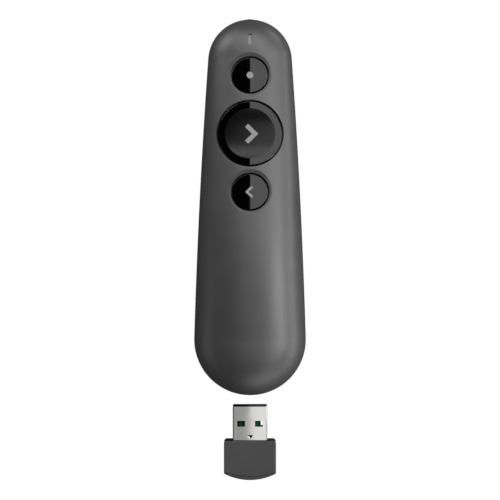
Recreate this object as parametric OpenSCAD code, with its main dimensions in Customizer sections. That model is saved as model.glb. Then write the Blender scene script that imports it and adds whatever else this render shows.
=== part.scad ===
// Wireless presentation clicker with a stowable USB receiver.
// It lies on its belly: +Z points out of the button face and +Y towards the laser nose.
// The origin is the middle of the clicker and its pulled-out receiver, on the rest plane.

/* [Body] */
// Length of the clicker from nose to tail
body_l = 129.2; // [120:0.2:156]
// Widest width, across the tail half
body_w = 38.4; // [37:0.1:46]
// Height of the palm hump above the rest plane
body_h = 27; // [26:0.5:33]
// Radius of the nose seen from above
nose_r = 14.4; // [14:0.1:17]
// How far the long sides bow outwards
side_bow = 0.5; // [0:0.1:1]
// Height of the joint between the two casings
part_z = 11; // [10.8:0.1:11.6]
// Thickness of the casings
wall = 1.8; // [1.5:0.1:2.2]
// How far the lower casing stands proud of the upper one
rim_step = 0.25; // [0.1:0.05:0.4]
// Roundness of the upper casing across the body (2 is an ellipse)
top_n = 2.35; // [2:0.05:3]
// Roundness of the belly across the body
belly_n = 3; // [2.6:0.1:4]
// Squareness of the heel at the tail
heel_n = 7; // [5:0.5:9]
// Place of the top of the hump along the body
hump_y = -12; // [-20:1:-5]
// Place where the straight button deck starts
deck_y = 8; // [4:1:12]
// Angle of the button deck to the rest plane
deck_a = 5.7; // [4:0.1:7]
// Place where the belly starts to rise towards the nose
belly_rise_y = 30; // [26:1:36]
// Rise of the belly at the middle of the nose
belly_rise = 5.5; // [3:0.1:6]

/* [Buttons] */
// Place of the laser button along the body
laser_y = 59.2; // [57:0.05:60]
// Place of the large next button along the body
next_y = 39.35; // [38:0.05:40]
// Place of the back button along the body
back_y = 19.7; // [17:0.05:20]
// Radius of the hole for the large button
big_hole_r = 11.25; // [9.2:0.05:11.5]
// Radius of the holes for the two small buttons
small_hole_r = 6.4; // [5.3:0.05:6.6]
// Gap between a button and its hole
button_gap = 0.25; // [0.15:0.05:0.4]
// Travel of every button
travel = 0.6; // [0.4:0.1:0.8]
// Depth of the finger dish in the large button
dish_depth = 1.2; // [0.6:0.1:1.4]
// Radius of the finger dish in the large button
dish_r = 8.5; // [6:0.1:9]
// Depth of the flat small buttons below the crown of the deck
small_sink = 0.7; // [0.5:0.05:0.9]
// Width of the sloped rim around the small buttons
well_w = 1.05; // [0.6:0.05:1.2]

/* [Battery bay] */
// Diameter of an AAA cell
cell_d = 10.5; // [10:0.1:10.6]
// Length of an AAA cell with its cap
cell_l = 44.5; // [44:0.1:45]
// Width of the sliding battery door
door_w = 25.6; // [24:0.1:27]
// Place of the front edge of the battery door
door_front_y = 31; // [30:0.5:32]
// Thickness of the battery door
door_t = 1.3; // [1.2:0.05:1.4]
// Thickness of the springs' wire
spring_wire_d = 0.7; // [0.5:0.05:0.9]

/* [Receiver] */
// Width of the receiver's housing
rcv_w = 18.06; // [17:0.1:18.6]
// Thickness of the receiver's housing
rcv_t = 6.8; // [6.4:0.1:7]
// Length of the receiver's housing along its middle
rcv_l = 13.7; // [13:0.1:17.1]
// Width of the USB plug
plug_w = 12; // [11.9:0.05:12.1]
// Thickness of the USB plug
plug_t = 4.5; // [4.4:0.05:4.6]
// Length of the USB plug outside the housing
plug_l = 12.1; // [11.5:0.1:13]
// Gap between the plug's tip and the clicker's tail
rcv_gap = 4; // [2:0.05:6]
// Gap around the receiver in its slot
slot_gap = 0.3; // [0.2:0.05:0.4]

/* [Electronics] */
// Thickness of the circuit board
board_t = 1.2; // [1:0.1:1.6]
// Depth of the board's top below the deck
board_drop = 8; // [7.5:0.1:8.5]
// Width of the circuit board
board_w = 18.5; // [17:0.5:19]
// Width of a push switch
switch_w = 6; // [5:0.5:6.5]
// Height of a push switch without its plunger
switch_h = 3.2; // [2.8:0.1:3.4]
// Radius of a push switch's plunger
plunger_r = 1.7; // [1.4:0.1:1.8]
// Radius of the laser barrel
barrel_r = 2.8; // [2.5:0.1:3]
// Length of the laser barrel
barrel_l = 7; // [6:0.2:7.4]
// Height of the laser axis above the rest plane
laser_z = 12.8; // [12.7:0.1:13]
// Radius of the laser opening in the nose
aperture_r = 1.7; // [1.4:0.1:1.7]

/* [Hidden] */

$fn = 64;
eps = 0.01;
arc_steps = 20;
side_steps = 12;
ring_steps = 10;

// Places along the body
tail_r = body_w / 2;
total_l = body_l + rcv_gap + plug_l + rcv_l;
nose_y = total_l / 2 - nose_r;
tail_y = nose_y - (body_l - nose_r - tail_r);
tail_tip_y = tail_y - tail_r;
spine_l = nose_y - tail_y;

// Upper profile: a parabola over the palm, then a straight deck
deck_slope = tan(deck_a);
hump_c = deck_slope / (2 * (deck_y - hump_y));
function top_z(y) = y < deck_y
    ? body_h - hump_c * pow(y - hump_y, 2)
    : body_h - hump_c * pow(deck_y - hump_y, 2) - deck_slope * (y - deck_y);

// Lower profile: a flat land, then a parabola up to the nose
land_sink = 0.6;
rise_c = belly_rise / pow(nose_y - belly_rise_y, 2);
function belly_z(y) = y < belly_rise_y ? -land_sink : -land_sink + rise_c * pow(y - belly_rise_y, 2);

// Outline as an envelope of circles that grow from nose to tail
function spine_r(t) = nose_r + (tail_r - nose_r) * t + 4 * side_bow * t * (1 - t);
function side_a(t) = asin(((tail_r - nose_r) + 4 * side_bow * (1 - 2 * t)) / spine_l);

// Each station is [place of its circle's centre, direction, radius, crown point's number]
function stations() = concat(
    [for (i = [0 : arc_steps])
        [nose_y, side_a(0) + (180 - 2 * side_a(0)) * i / arc_steps, nose_r, 0]],
    [for (i = [1 : side_steps - 1])
        let (t = i / side_steps) [nose_y - spine_l * t, 180 - side_a(t), spine_r(t), i]],
    [for (i = [0 : arc_steps])
        [tail_y, 180 - side_a(1) + (180 + 2 * side_a(1)) * i / arc_steps, tail_r, side_steps]],
    [for (i = [side_steps - 1 : -1 : 1])
        let (t = i / side_steps) [nose_y - spine_l * t, side_a(t), spine_r(t), i]]
);
STATIONS = stations();
COUNT = len(STATIONS);

// Roundness of the belly at a direction: the heel is squarer
function lower_n(a) = belly_n + (heel_n - belly_n) * pow(max(0, -sin(a)), 2);

// One point of a casing's skin, at ring angle q from the rim (0) to the crown (90)
function skin_point(s, q, up, inset, floor_z) =
    let (
        n = up ? top_n : lower_n(s[1]),
        out = (s[2] - inset) * pow(cos(q), 2 / n),
        rise = pow(sin(q), 2 / n),
        z = up
            ? part_z + (top_z(s[0]) - part_z - inset + rim_step) * rise
            : max(floor_z, part_z - (part_z - belly_z(s[0]) - inset) * rise)
    )
    [out * cos(s[1]), s[0] + out * sin(s[1]), z];

function skin_points(up, inset, floor_z) = concat(
    [for (j = [0 : ring_steps - 1])
        for (s = STATIONS) skin_point(s, 90 * j / ring_steps, up, inset, floor_z)],
    [for (i = [0 : side_steps])
        skin_point([nose_y - spine_l * i / side_steps, 0, 0, i], 90, up, inset, floor_z)]
);

// Triangles of a skin whose points start at number k
function skin_faces(k) = concat(
    [for (j = [0 : ring_steps - 2]) for (i = [0 : COUNT - 1])
        let (a = k + j * COUNT + i, b = k + j * COUNT + (i + 1) % COUNT)
        each [[a, b, b + COUNT], [a, b + COUNT, a + COUNT]]],
    [for (i = [0 : COUNT - 1])
        let (
            m = (i + 1) % COUNT,
            a = k + (ring_steps - 1) * COUNT + i,
            b = k + (ring_steps - 1) * COUNT + m,
            c = k + ring_steps * COUNT + STATIONS[i][3],
            d = k + ring_steps * COUNT + STATIONS[m][3]
        )
        each (c == d ? [[a, b, c]] : [[a, b, d], [a, d, c]])]
);

function turned(faces) = [for (f = faces) [f[2], f[1], f[0]]];

// A casing between an outer and an inner skin, open at the joint plane
module casing(up, outer_inset, inner_inset) {
    outer = skin_points(up, outer_inset, 0);
    inner = skin_points(up, inner_inset, inner_inset - outer_inset);
    shift = len(outer);
    rim = [for (i = [0 : COUNT - 1])
        let (m = (i + 1) % COUNT)
        each [[i, shift + i, shift + m], [i, shift + m, m]]];
    faces = concat(skin_faces(0), turned(skin_faces(shift)), rim);
    polyhedron(points = concat(outer, inner), faces = up ? turned(faces) : faces, convexity = 6);
}

// The flat outline of the body, brought in by an inset
module outline(inset) {
    polygon([for (s = STATIONS) [(s[2] - inset) * cos(s[1]), s[0] + (s[2] - inset) * sin(s[1])]]);
}

// Puts its children on the deck, with +Z along the deck's normal and z = 0 on its crown
module on_deck(y) {
    translate([0, y, top_z(y)])
        rotate([-deck_a, 0, 0])
            children();
}

// A rectangle with round corners
module rounded(w, l, r) {
    square([w - 2 * r, l], center = true);
    square([w, l - 2 * r], center = true);
    for (x = [-1, 1])
        for (y = [-1, 1])
            translate([x * (w / 2 - r), y * (l / 2 - r)])
                circle(r = r);
}

module slab(x0, x1, y0, y1, z0, z1) {
    translate([x0, y0, z0])
        cube([x1 - x0, y1 - y0, z1 - z0]);
}

module both_sides() {
    children();
    mirror([1, 0, 0])
        children();
}

module capsule(w, l) {
    for (s = [-1, 1])
        translate([0, s * (l - w) / 2])
            circle(d = w);
    square([w, l - w], center = true);
}

// Battery bay
cell_gap = 0.6;
cell_clear = 0.35;
cell_x = (cell_d + cell_gap) / 2;
cell_z = door_t + cell_clear + cell_d / 2;
bay_wall = 1.2;
bay_half = cell_x + cell_d / 2 + 0.4;
bay_front_y = door_front_y - 2;
contact_t = 0.4;
contact_h = 8;
spring_l = 4.2;
bay_back_y = bay_front_y - cell_l - spring_l - 2 * contact_t;
door_cut_z = 2.6;
door_gap = 0.2;
bay_skirt_z = 4.9;
hook_x = 9.8;
hook_w = 2.6;
hook_l = 2.2;
hook_z = 1.85;
hook_t = 0.55;
rail_x = 9.7;
rail_top_z = 2.3;
grip_y = 14;

// Frame plate between the cells and the board
plate_z = cell_z + cell_d / 2 + cell_clear;
plate_t = 1;
frame_gap = 0.4;
tag_w = 2;
tag_gap = 0.15;
pin_r = 0.7;
pin_gap = 0.05;

// Lip of the lower casing, inside the upper one
lip_inset = wall + rim_step + 0.15;
lip_t = 0.8;
lip_h = 1.1;

// Receiver, at rest pulled out behind the tail
rcv_z0 = door_t + slot_gap;
rcv_z = rcv_z0 + rcv_t / 2;
rcv_root_y = tail_tip_y - rcv_gap - plug_l;
rcv_tip_y = rcv_root_y + plug_l;
rcv_tail_y = rcv_root_y - rcv_l;
stow = tail_tip_y - rcv_tail_y;
dock_y = rcv_root_y + stow + slot_gap;
dock_end_y = rcv_tip_y + stow + slot_gap;
slot_half = rcv_w / 2 + slot_gap;
slot_top_z = rcv_z0 + rcv_t + slot_gap;

// Screws
screw_r = 1;
screw_head_r = 1.8;
screw_head_t = 1.1;
nose_screw = [8, 69 - 64.95 + nose_y];
nose_seat_z = 8;
palm_screw_y = [hump_y - 2, 3];
boss_r = 2.3;

// Deck electronics
switch_drop = board_drop - switch_h;
stem_drop = switch_drop - 1.2;
board_back_y = back_y - 9;
board_front_y = laser_y + 6.8;
switch_y = [laser_y, next_y, back_y];
skin_gap = 0.3;
barrel_rise = (laser_z + barrel_r + skin_gap - part_z) / (top_z(nose_y) - part_z - wall);
barrel_reach = (nose_r - wall - rim_step) * pow(1 - pow(barrel_rise, top_n), 1 / top_n);
barrel_y = nose_y + min(nose_r - wall - 2.5, barrel_reach) - barrel_l;
board_end_y = board_front_y - 0.5;
function board_top_z(y) = top_z(y) - board_drop / cos(deck_a);
post_y = [board_back_y + 4, door_front_y - 6.5];
post_x = board_w / 2 - 2.5;
function deck_place(y) = (y - next_y + (board_drop + board_t) * sin(deck_a)) / cos(deck_a);

// Tabs that keep the buttons in, and the collars that stop them
tab_drop = 2.5;
tab_t = 0.9;
collar_w = 1.2;
collar_gap = 0.05;
rib_t = 1;
rib_y = [-34, -24, -4];

// LED window in the nose
led_y = nose_y + 6.25;
led_w = 1.25;
led_l = 3.8;
led_sink = 0.35;
function nose_top_z(y) = part_z + (top_z(nose_y) - part_z)
    * pow(1 - pow((y - nose_y) / nose_r, top_n), 1 / top_n);
led_top_z = nose_top_z(led_y) - led_sink;
flex_t = 0.15;
flex_w = 2.4;
flex_neck_w = 0.9;
flex_z = laser_z + barrel_r + 0.1;
led_t = 0.6;

module button_well(y) {
    on_deck(y) {
        translate([0, 0, -12])
            cylinder(r = small_hole_r, h = 13);
        translate([0, 0, -small_sink])
            cylinder(r1 = small_hole_r, r2 = small_hole_r + 2 * well_w, h = 2 * small_sink);
    }
}

// A ring under the skin round a button hole, cut to the width of the button's tabs
module collar(y, r, w) {
    on_deck(y)
        intersection() {
            translate([0, 0, collar_gap - tab_drop])
                cylinder(r = r + collar_w, h = tab_drop - collar_gap - 1.6);
            translate([-w / 2, -30, -5])
                cube([w, 60, 10]);
        }
}

module top_shell() {
    color([0.29, 0.29, 0.3])
    difference() {
        union() {
            casing(true, rim_step, wall + rim_step);
            collar(laser_y, small_hole_r, 9);
            collar(back_y, small_hole_r, 9);
            collar(next_y, big_hole_r, 9);
            intersection() {
                casing(true, wall + rim_step - 0.3, wall + rim_step + 1.6);
                for (y = rib_y)
                    slab(-30, 30, y, y + rib_t, plate_z + plate_t + 0.3, 40);
            }
            both_sides()
                translate([nose_screw[0], nose_screw[1], part_z + 0.2])
                    cylinder(r = boss_r, h = 6.2);
            for (y = palm_screw_y)
                translate([0, y, plate_z + plate_t])
                    cylinder(r = boss_r, h = top_z(y) - wall - plate_z - plate_t);
        }
        both_sides()
            translate([nose_screw[0], nose_screw[1], part_z])
                cylinder(r = screw_r, h = 5);
        for (y = palm_screw_y)
            translate([0, y, plate_z])
                cylinder(r = screw_r, h = 8);
        on_deck(next_y)
            translate([0, 0, -12])
                cylinder(r = big_hole_r, h = 13);
        button_well(laser_y);
        button_well(back_y);
        translate([0, led_y, part_z + 4])
            linear_extrude(12)
                capsule(led_w, led_l);
        translate([0, nose_y + nose_r + 1, laser_z])
            rotate([90, 0, 0])
                cylinder(r = aperture_r, h = wall + 4);
    }
}

// A thin wall that stands inside the upper casing's edge, on a shelf
module joint_lip() {
    translate([0, 0, part_z - 1.9])
        linear_extrude(1.3)
            difference() {
                outline(wall - 0.2);
                outline(lip_inset + lip_t);
            }
    translate([0, 0, part_z - 0.7])
        linear_extrude(0.7 + lip_h)
            difference() {
                outline(lip_inset);
                outline(lip_inset + lip_t);
            }
}

module bottom_shell() {
    color([0.13, 0.13, 0.14])
    difference() {
        union() {
            casing(false, 0, wall);
            difference() {
                joint_lip();
                slab(-4.2, 4.2, nose_y + nose_r - 9, nose_y + nose_r, part_z - 3, part_z + 3);
            }
            both_sides()
                translate([nose_screw[0], nose_screw[1], nose_seat_z - 1.6])
                    cylinder(r = boss_r + 0.5, h = part_z - nose_seat_z + 1.6);
            for (y = [barrel_y + 1, barrel_y + barrel_l - 2])
                slab(-barrel_r - 0.6, barrel_r + 0.6, y, y + rib_t, belly_z(nose_y) + 1.2, laser_z - 0.8);
            intersection() {
                casing(false, wall - 0.3, wall + 1.4);
                union() {
                    both_sides()
                        slab(4, 4 + rib_t, door_front_y + 5, nose_y - 2, 0, part_z);
                    for (y = [door_front_y + 6, door_front_y + 16, door_front_y + 26])
                        slab(-30, 30, y, y + rib_t, 0, part_z - 2);
                }
            }
        }
        translate([0, barrel_y - 1, laser_z])
            rotate([-90, 0, 0])
                cylinder(r = barrel_r + 0.02, h = barrel_l + 2);
        both_sides()
            slab(hook_x - 0.2, hook_x + hook_w + 0.2, door_front_y, door_front_y + hook_l + 0.3,
                 hook_z - 0.15, hook_z + 1.6);
        both_sides() {
            translate([nose_screw[0], nose_screw[1], 0])
                cylinder(r = screw_r + 0.15, h = part_z + 1);
            translate([nose_screw[0], nose_screw[1], 0])
                cylinder(r = screw_head_r + 0.2, h = nose_seat_z);
        }
        slab(-door_w / 2 - door_gap, door_w / 2 + door_gap, tail_tip_y - 1, door_front_y + door_gap,
             -1, door_cut_z);
        slab(-slot_half, slot_half, tail_tip_y - 1, tail_tip_y + 8, rcv_z0 - slot_gap, slot_top_z);
    }
}

module battery_door() {
    color([0.15, 0.15, 0.16])
    union() {
        difference() {
            intersection() {
                casing(false, 0, door_t);
                slab(-door_w / 2, door_w / 2, tail_tip_y, door_front_y, -1, door_cut_z - 0.2);
            }
            slab(-slot_half, slot_half, tail_tip_y - 1, tail_tip_y + 8, rcv_z0 - slot_gap, slot_top_z);
            for (k = [0 : 4])
                translate([0, grip_y + 2.4 * k, -1])
                    linear_extrude(1.3)
                        rotate(90)
                            capsule(0.9, 13, $fn = 24);
        }
        both_sides() {
            slab(rail_x, rail_x + rib_t, bay_back_y + 4, door_front_y - 2, door_t - 0.3, rail_top_z);
            for (y = [bay_back_y + 4 : 8 : door_front_y - 6])
                slab(rail_x, hook_x + hook_w, y, y + 0.8, door_t - 0.3, rail_top_z - 0.2);
            slab(hook_x, hook_x + hook_w, door_front_y - 3, door_front_y, door_t - 0.3, hook_z + hook_t);
            slab(hook_x, hook_x + hook_w, door_front_y - 3, door_front_y + hook_l, hook_z, hook_z + hook_t);
        }
    }
}

module mid_frame() {
    color([0.2, 0.2, 0.21]) {
        frame_body();
        board_pins(pin_r);
    }
}

module frame_body() {
    difference() {
        union() {
            translate([0, 0, plate_z])
                linear_extrude(plate_t)
                    intersection() {
                        outline(wall + rim_step + frame_gap + 0.6);
                        translate([-40, tail_tip_y + 5])
                            square([80, door_front_y - tail_tip_y - 5]);
                    }
            both_sides() {
                slab(bay_half, bay_half + bay_wall, bay_back_y - eps, bay_front_y + eps,
                     bay_skirt_z, plate_z + eps);
                slab(slot_half, slot_half + bay_wall, tail_tip_y + 8.3, dock_y + 1,
                     door_cut_z + 0.5, plate_z + eps);
            }
            for (y = [bay_back_y - bay_wall, bay_front_y]) {
                slab(-bay_half - bay_wall, bay_half + bay_wall, y, y + bay_wall, bay_skirt_z, plate_z + eps);
                slab(-slot_half, slot_half, y, y + bay_wall, rcv_z0, bay_skirt_z + eps);
            }
            slab(-slot_half, slot_half, dock_y, bay_back_y - bay_wall + eps, rcv_z0, plate_z + eps);
            slab(-slot_half - bay_wall, slot_half + bay_wall, dock_y, bay_back_y - bay_wall + eps,
                 bay_skirt_z, plate_z + eps);
            for (y = post_y)
                both_sides()
                    translate([post_x, y, plate_z + plate_t - eps])
                        cylinder(r = 1.6, h = top_z(y) - plate_z - plate_t);
        }
        slab(-plug_w / 2 - slot_gap, plug_w / 2 + slot_gap, dock_y - 1, dock_end_y,
             rcv_z - plug_t / 2 - slot_gap, rcv_z + plug_t / 2 + slot_gap);
        for (y = palm_screw_y)
            translate([0, y, plate_z - 1])
                cylinder(r = screw_r + 0.15, h = plate_t + 2);
        for (x = [-cell_x, cell_x])
            for (y = [bay_back_y, bay_front_y - contact_t])
                slab(x - tag_w / 2 - tag_gap, x + tag_w / 2 + tag_gap, y - tag_gap, y + contact_t + tag_gap,
                     plate_z - 0.1, plate_z + plate_t + 0.1);
        for (y = [-5.5, 9.5])
            both_sides()
                translate([7.2, y, plate_z - 1])
                    linear_extrude(plate_t + 2)
                        rounded(6.4, 9, 1.2);
        on_deck(next_y)
            translate([-20, -60, -board_drop - board_t])
                cube([40, 90, 20]);
    }
}

// Pins on the frame's posts go through the board
module board_pins(r) {
    for (y = post_y)
        both_sides()
            on_deck(next_y)
                translate([post_x, deck_place(y), -board_drop - board_t - 1])
                    cylinder(r = r, h = board_t + 1.4);
}

module small_button(y) {
    r = small_hole_r - button_gap;
    on_deck(y) {
        difference() {
            translate([0, 0, -3.4])
                cylinder(r = r, h = 3.4 - small_sink);
            translate([0, 0, -4])
                cylinder(r = r - 1, h = 2);
        }
        for (s = [-1, 1])
            translate([-2, s * (r + 0.3) - 0.8, -tab_drop - tab_t])
                cube([4, 1.6, tab_t]);
        translate([0, 0, -stem_drop])
            cylinder(r = plunger_r, h = stem_drop - 1.5);
    }
}

// The large button follows the crown of the deck across the body and has a round dish
crown_r = 25.9;
module big_button() {
    r = big_hole_r - button_gap;
    dish_sphere_r = (dish_r * dish_r + dish_depth * dish_depth) / (2 * dish_depth);
    on_deck(next_y)
        difference() {
            union() {
                intersection() {
                    translate([0, 0, -4.2])
                        cylinder(r = r, h = 5);
                    translate([0, r + 1, -crown_r])
                        rotate([90, 0, 0])
                            cylinder(r = crown_r, h = 2 * r + 2, $fn = 128);
                }
                for (s = [-1, 1])
                    translate([-3, s * (r + 0.3) - 0.9, -tab_drop - tab_t])
                        cube([6, 1.8, tab_t]);
            }
            translate([0, 0, dish_sphere_r - dish_depth])
                sphere(r = dish_sphere_r, $fn = 128);
            difference() {
                translate([0, 0, -5])
                    cylinder(r = r - 1.3, h = 2.1);
                translate([0, 0, -stem_drop])
                    cylinder(r = plunger_r + 0.4, h = stem_drop);
            }
        }
}

module laser_button() {
    color([0.03, 0.03, 0.03])
        small_button(laser_y);
}

module next_button() {
    color([0.03, 0.03, 0.03])
        big_button();
}

module back_button() {
    color([0.03, 0.03, 0.03])
        small_button(back_y);
}

module plunger(y) {
    color([0.1, 0.1, 0.1])
    on_deck(y)
        translate([0, 0, -switch_drop - travel - 0.2])
            cylinder(r = plunger_r, h = switch_drop - stem_drop + travel + 0.2);
}

module switch_body(y) {
    color([0.75, 0.76, 0.78])
    on_deck(y)
        difference() {
            union() {
                translate([-switch_w / 2, -switch_w / 2, -board_drop])
                    cube([switch_w, switch_w, switch_h]);
                translate([-switch_w / 2 - 0.2, -switch_w / 2 - 0.2, -board_drop])
                    cube([switch_w + 0.4, switch_w + 0.4, 0.8]);
                for (s = [-1, 1])
                    translate([-switch_w / 2 - 1.1, s * 2.2 - 0.35, -board_drop])
                        cube([switch_w + 2.2, 0.7, 0.25]);
            }
            translate([0, 0, -switch_drop - 2 * travel - 0.4])
                cylinder(r = plunger_r + 0.08, h = 3);
        }
}

module main_board() {
    color([0.05, 0.3, 0.14])
    difference() {
        on_deck(next_y)
            translate([0, (board_back_y + board_front_y) / 2 - next_y, -board_drop - board_t])
                linear_extrude(board_t)
                    difference() {
                        rounded(board_w, board_front_y - board_back_y, 1.5);
                        for (x = [-1, 1])
                            translate([x * board_w / 2, 9])
                                circle(r = 1.4);
                    }
        board_pins(pin_r + pin_gap);
    }
}

module board_chips() {
    color([0.08, 0.08, 0.09])
    on_deck(next_y) {
        translate([-3, -12.6, -board_drop])
            cube([6, 5, 1]);
        translate([4.5, -9.2, -board_drop])
            cube([3.2, 2.5, 0.8]);
        translate([-7.6, 7.4, -board_drop])
            cube([2.4, 4.6, 1.1]);
    }
}

module status_led() {
    color([0.9, 0.95, 0.85])
        slab(-0.8, 0.8, led_y - 1, led_y + 1, flex_z + flex_t, flex_z + flex_t + led_t);
}

// A film lead carries the LED over the laser barrel to the end of the board
module led_flex() {
    color([0.75, 0.45, 0.1]) {
        slab(-flex_w / 2, flex_w / 2, led_y - 1.8, led_y + 1.6, flex_z, flex_z + flex_t);
        slab(-flex_neck_w / 2, flex_neck_w / 2, board_end_y + 0.6, led_y, flex_z, flex_z + flex_t);
        slab(-flex_neck_w / 2, flex_neck_w / 2, board_end_y + 0.6, board_end_y + 0.6 + flex_t,
             board_top_z(board_end_y) - 0.8, flex_z + eps);
    }
}

module led_window() {
    color([0.6, 0.6, 0.6])
    difference() {
        translate([0, led_y, flex_z + flex_t + led_t + 0.1])
            linear_extrude(led_top_z - flex_z - flex_t - led_t - 0.1)
                capsule(led_w - 0.06, led_l - 0.06);
        translate([-2, led_y - led_l / 2, led_top_z])
            rotate([-7, 0, 0])
                cube([4, 6, 3]);
    }
}

module along_laser(y) {
    translate([0, y, laser_z])
        rotate([-90, 0, 0])
            children();
}

module laser_barrel() {
    color([0.78, 0.66, 0.35])
    along_laser(barrel_y)
        difference() {
            cylinder(r = barrel_r, h = barrel_l);
            translate([0, 0, barrel_l - 1.5])
                cylinder(r = barrel_r - 0.6, h = 2);
            translate([0, 0, 1.5])
                cylinder(r = barrel_r - 1.1, h = barrel_l);
            translate([0, 0, -1])
                cylinder(r = 1.4, h = 3);
        }
}

module laser_lens() {
    color([0.75, 0.85, 0.95])
    along_laser(barrel_y + barrel_l - 1.45)
        cylinder(r = barrel_r - 0.63, h = 0.9);
}

lead_r = 0.22;
module laser_leads() {
    color([0.8, 0.5, 0.3])
    for (x = [-0.8, 0.8])
        translate([x, barrel_y + 1, board_top_z(board_end_y - 1) + lead_r])
            rotate([90, 0, 0])
                cylinder(r = lead_r, h = barrel_y + 2 - board_end_y);
}

module nose_window() {
    color([0.03, 0.03, 0.03])
    along_laser(nose_y + nose_r - rim_step - wall - 0.2)
        difference() {
            cylinder(r = aperture_r - 0.03, h = wall - 0.1);
            translate([0, 0, -1])
                cylinder(r = aperture_r - 0.6, h = wall + 4);
        }
}

// An AAA cell: a can, a shoulder and a raised cap on the positive end
module cell(x, y, turn) {
    cap_h = 0.8;
    translate([x, y, cell_z])
        rotate([turn, 0, 0])
            rotate_extrude()
                polygon([
                    [0, -cell_l / 2], [cell_d / 2 - 0.4, -cell_l / 2], [cell_d / 2, -cell_l / 2 + 0.4],
                    [cell_d / 2, cell_l / 2 - cap_h - 0.6], [cell_d / 2 - 0.6, cell_l / 2 - cap_h],
                    [1.9, cell_l / 2 - cap_h], [1.9, cell_l / 2], [0, cell_l / 2]
                ]);
}

module battery_left() {
    color([0.75, 0.62, 0.3])
        cell(-cell_x, bay_front_y - contact_t - cell_l / 2, -90);
}

module battery_right() {
    color([0.75, 0.62, 0.3])
        cell(cell_x, bay_back_y + contact_t + cell_l / 2, 90);
}

// A conical contact spring swept along +Z from its wide end, as one closed tube
module contact_spring() {
    turns = 3;
    steps = 16;
    sides = 6;
    w = spring_wire_d / 2;
    count = turns * steps;
    points = [for (k = [0 : count]) for (i = [0 : sides - 1])
        let (
            a = 360 * k / steps,
            r = 4 - 1.9 * k / count + w * cos(360 * i / sides),
            z = w + (spring_l - 2 * w) * min(1, max(0, (k - 4) / (count - 8))) + w * sin(360 * i / sides)
        )
        [r * cos(a), r * sin(a), z]];
    walls = [for (k = [0 : count - 1]) for (i = [0 : sides - 1])
        let (a = k * sides + i, b = k * sides + (i + 1) % sides)
        each [[a, a + sides, b], [b, a + sides, b + sides]]];
    start = [[for (i = [0 : sides - 1]) i]];
    end = [[for (i = [sides - 1 : -1 : 0]) count * sides + i]];
    polyhedron(points = points, faces = concat(walls, start, end));
}

module battery_springs() {
    color([0.8, 0.8, 0.78]) {
        translate([-cell_x, bay_back_y + contact_t, cell_z])
            rotate([-90, 0, 0])
                contact_spring();
        translate([cell_x, bay_front_y - contact_t, cell_z])
            rotate([90, 0, 0])
                contact_spring();
    }
}

module battery_contacts() {
    color([0.8, 0.8, 0.78])
    for (x = [-cell_x, cell_x]) {
        slab(x - contact_h / 2, x + contact_h / 2, bay_front_y - contact_t, bay_front_y,
             cell_z - contact_h / 2, cell_z + contact_h / 2);
        slab(x - contact_h / 2, x + contact_h / 2, bay_back_y, bay_back_y + contact_t,
             cell_z - contact_h / 2, cell_z + contact_h / 2);
        for (y = [bay_back_y, bay_front_y - contact_t])
            slab(x - tag_w / 2, x + tag_w / 2, y, y + contact_t, cell_z, plate_z + plate_t + 0.8);
    }
}

module screw(l) {
    translate([0, 0, -screw_head_t])
        cylinder(r = screw_head_r, h = screw_head_t);
    cylinder(r = screw_r, h = l);
}

module case_screws() {
    color([0.3, 0.3, 0.32]) {
        both_sides()
            translate([nose_screw[0], nose_screw[1], nose_seat_z])
                screw(part_z - nose_seat_z + 4.5);
        for (y = palm_screw_y)
            translate([0, y, plate_z])
                screw(7);
    }
}

// A rectangle with its four corners cut off
module chamfered(w, h, cut_w, cut_h) {
    polygon([
        [-w, cut_h - h], [cut_w - w, -h], [w - cut_w, -h], [w, cut_h - h],
        [w, h - cut_h], [w - cut_w, h], [cut_w - w, h], [-w, h - cut_h]
    ]);
}

// The housing's tail follows the clicker's own tail, so it lies flush when stowed
module receiver_housing() {
    edge = 0.9;
    color([0.25, 0.25, 0.26])
    difference() {
        intersection() {
            translate([0, rcv_root_y, rcv_z])
                rotate([90, 0, 0])
                    linear_extrude(rcv_l)
                        chamfered(rcv_w / 2, rcv_t / 2, 0.6, edge);
            union() {
                translate([0, rcv_tail_y + tail_r, rcv_z0 + edge])
                    cylinder(r = tail_r, h = rcv_t - 2 * edge, $fn = 128);
                for (up = [0, 1])
                    translate([0, rcv_tail_y + tail_r, rcv_z])
                        mirror([0, 0, up])
                            translate([0, 0, rcv_t / 2 - edge])
                                cylinder(r1 = tail_r, r2 = tail_r - 1.7, h = edge, $fn = 128);
            }
        }
        translate([-plug_w / 2, rcv_root_y - 3, rcv_z - plug_t / 2])
            cube([plug_w, 4, plug_t]);
        slab(-plug_w / 2 - 1.4, plug_w / 2 + 1.4, rcv_root_y - 10.5, rcv_root_y - 1.4,
             rcv_z0 + 1.1, rcv_z0 + rcv_t - 1.1);
        both_sides()
            difference() {
                slab(rcv_w / 2 - 0.5, rcv_w / 2 + 1, rcv_root_y - 0.5, rcv_root_y + 1, 0, rcv_z0 + rcv_t + 1);
                translate([rcv_w / 2 - 0.5, rcv_root_y - 0.5, -1])
                    cylinder(r = 0.5, h = rcv_z0 + rcv_t + 3);
            }
    }
}

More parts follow.
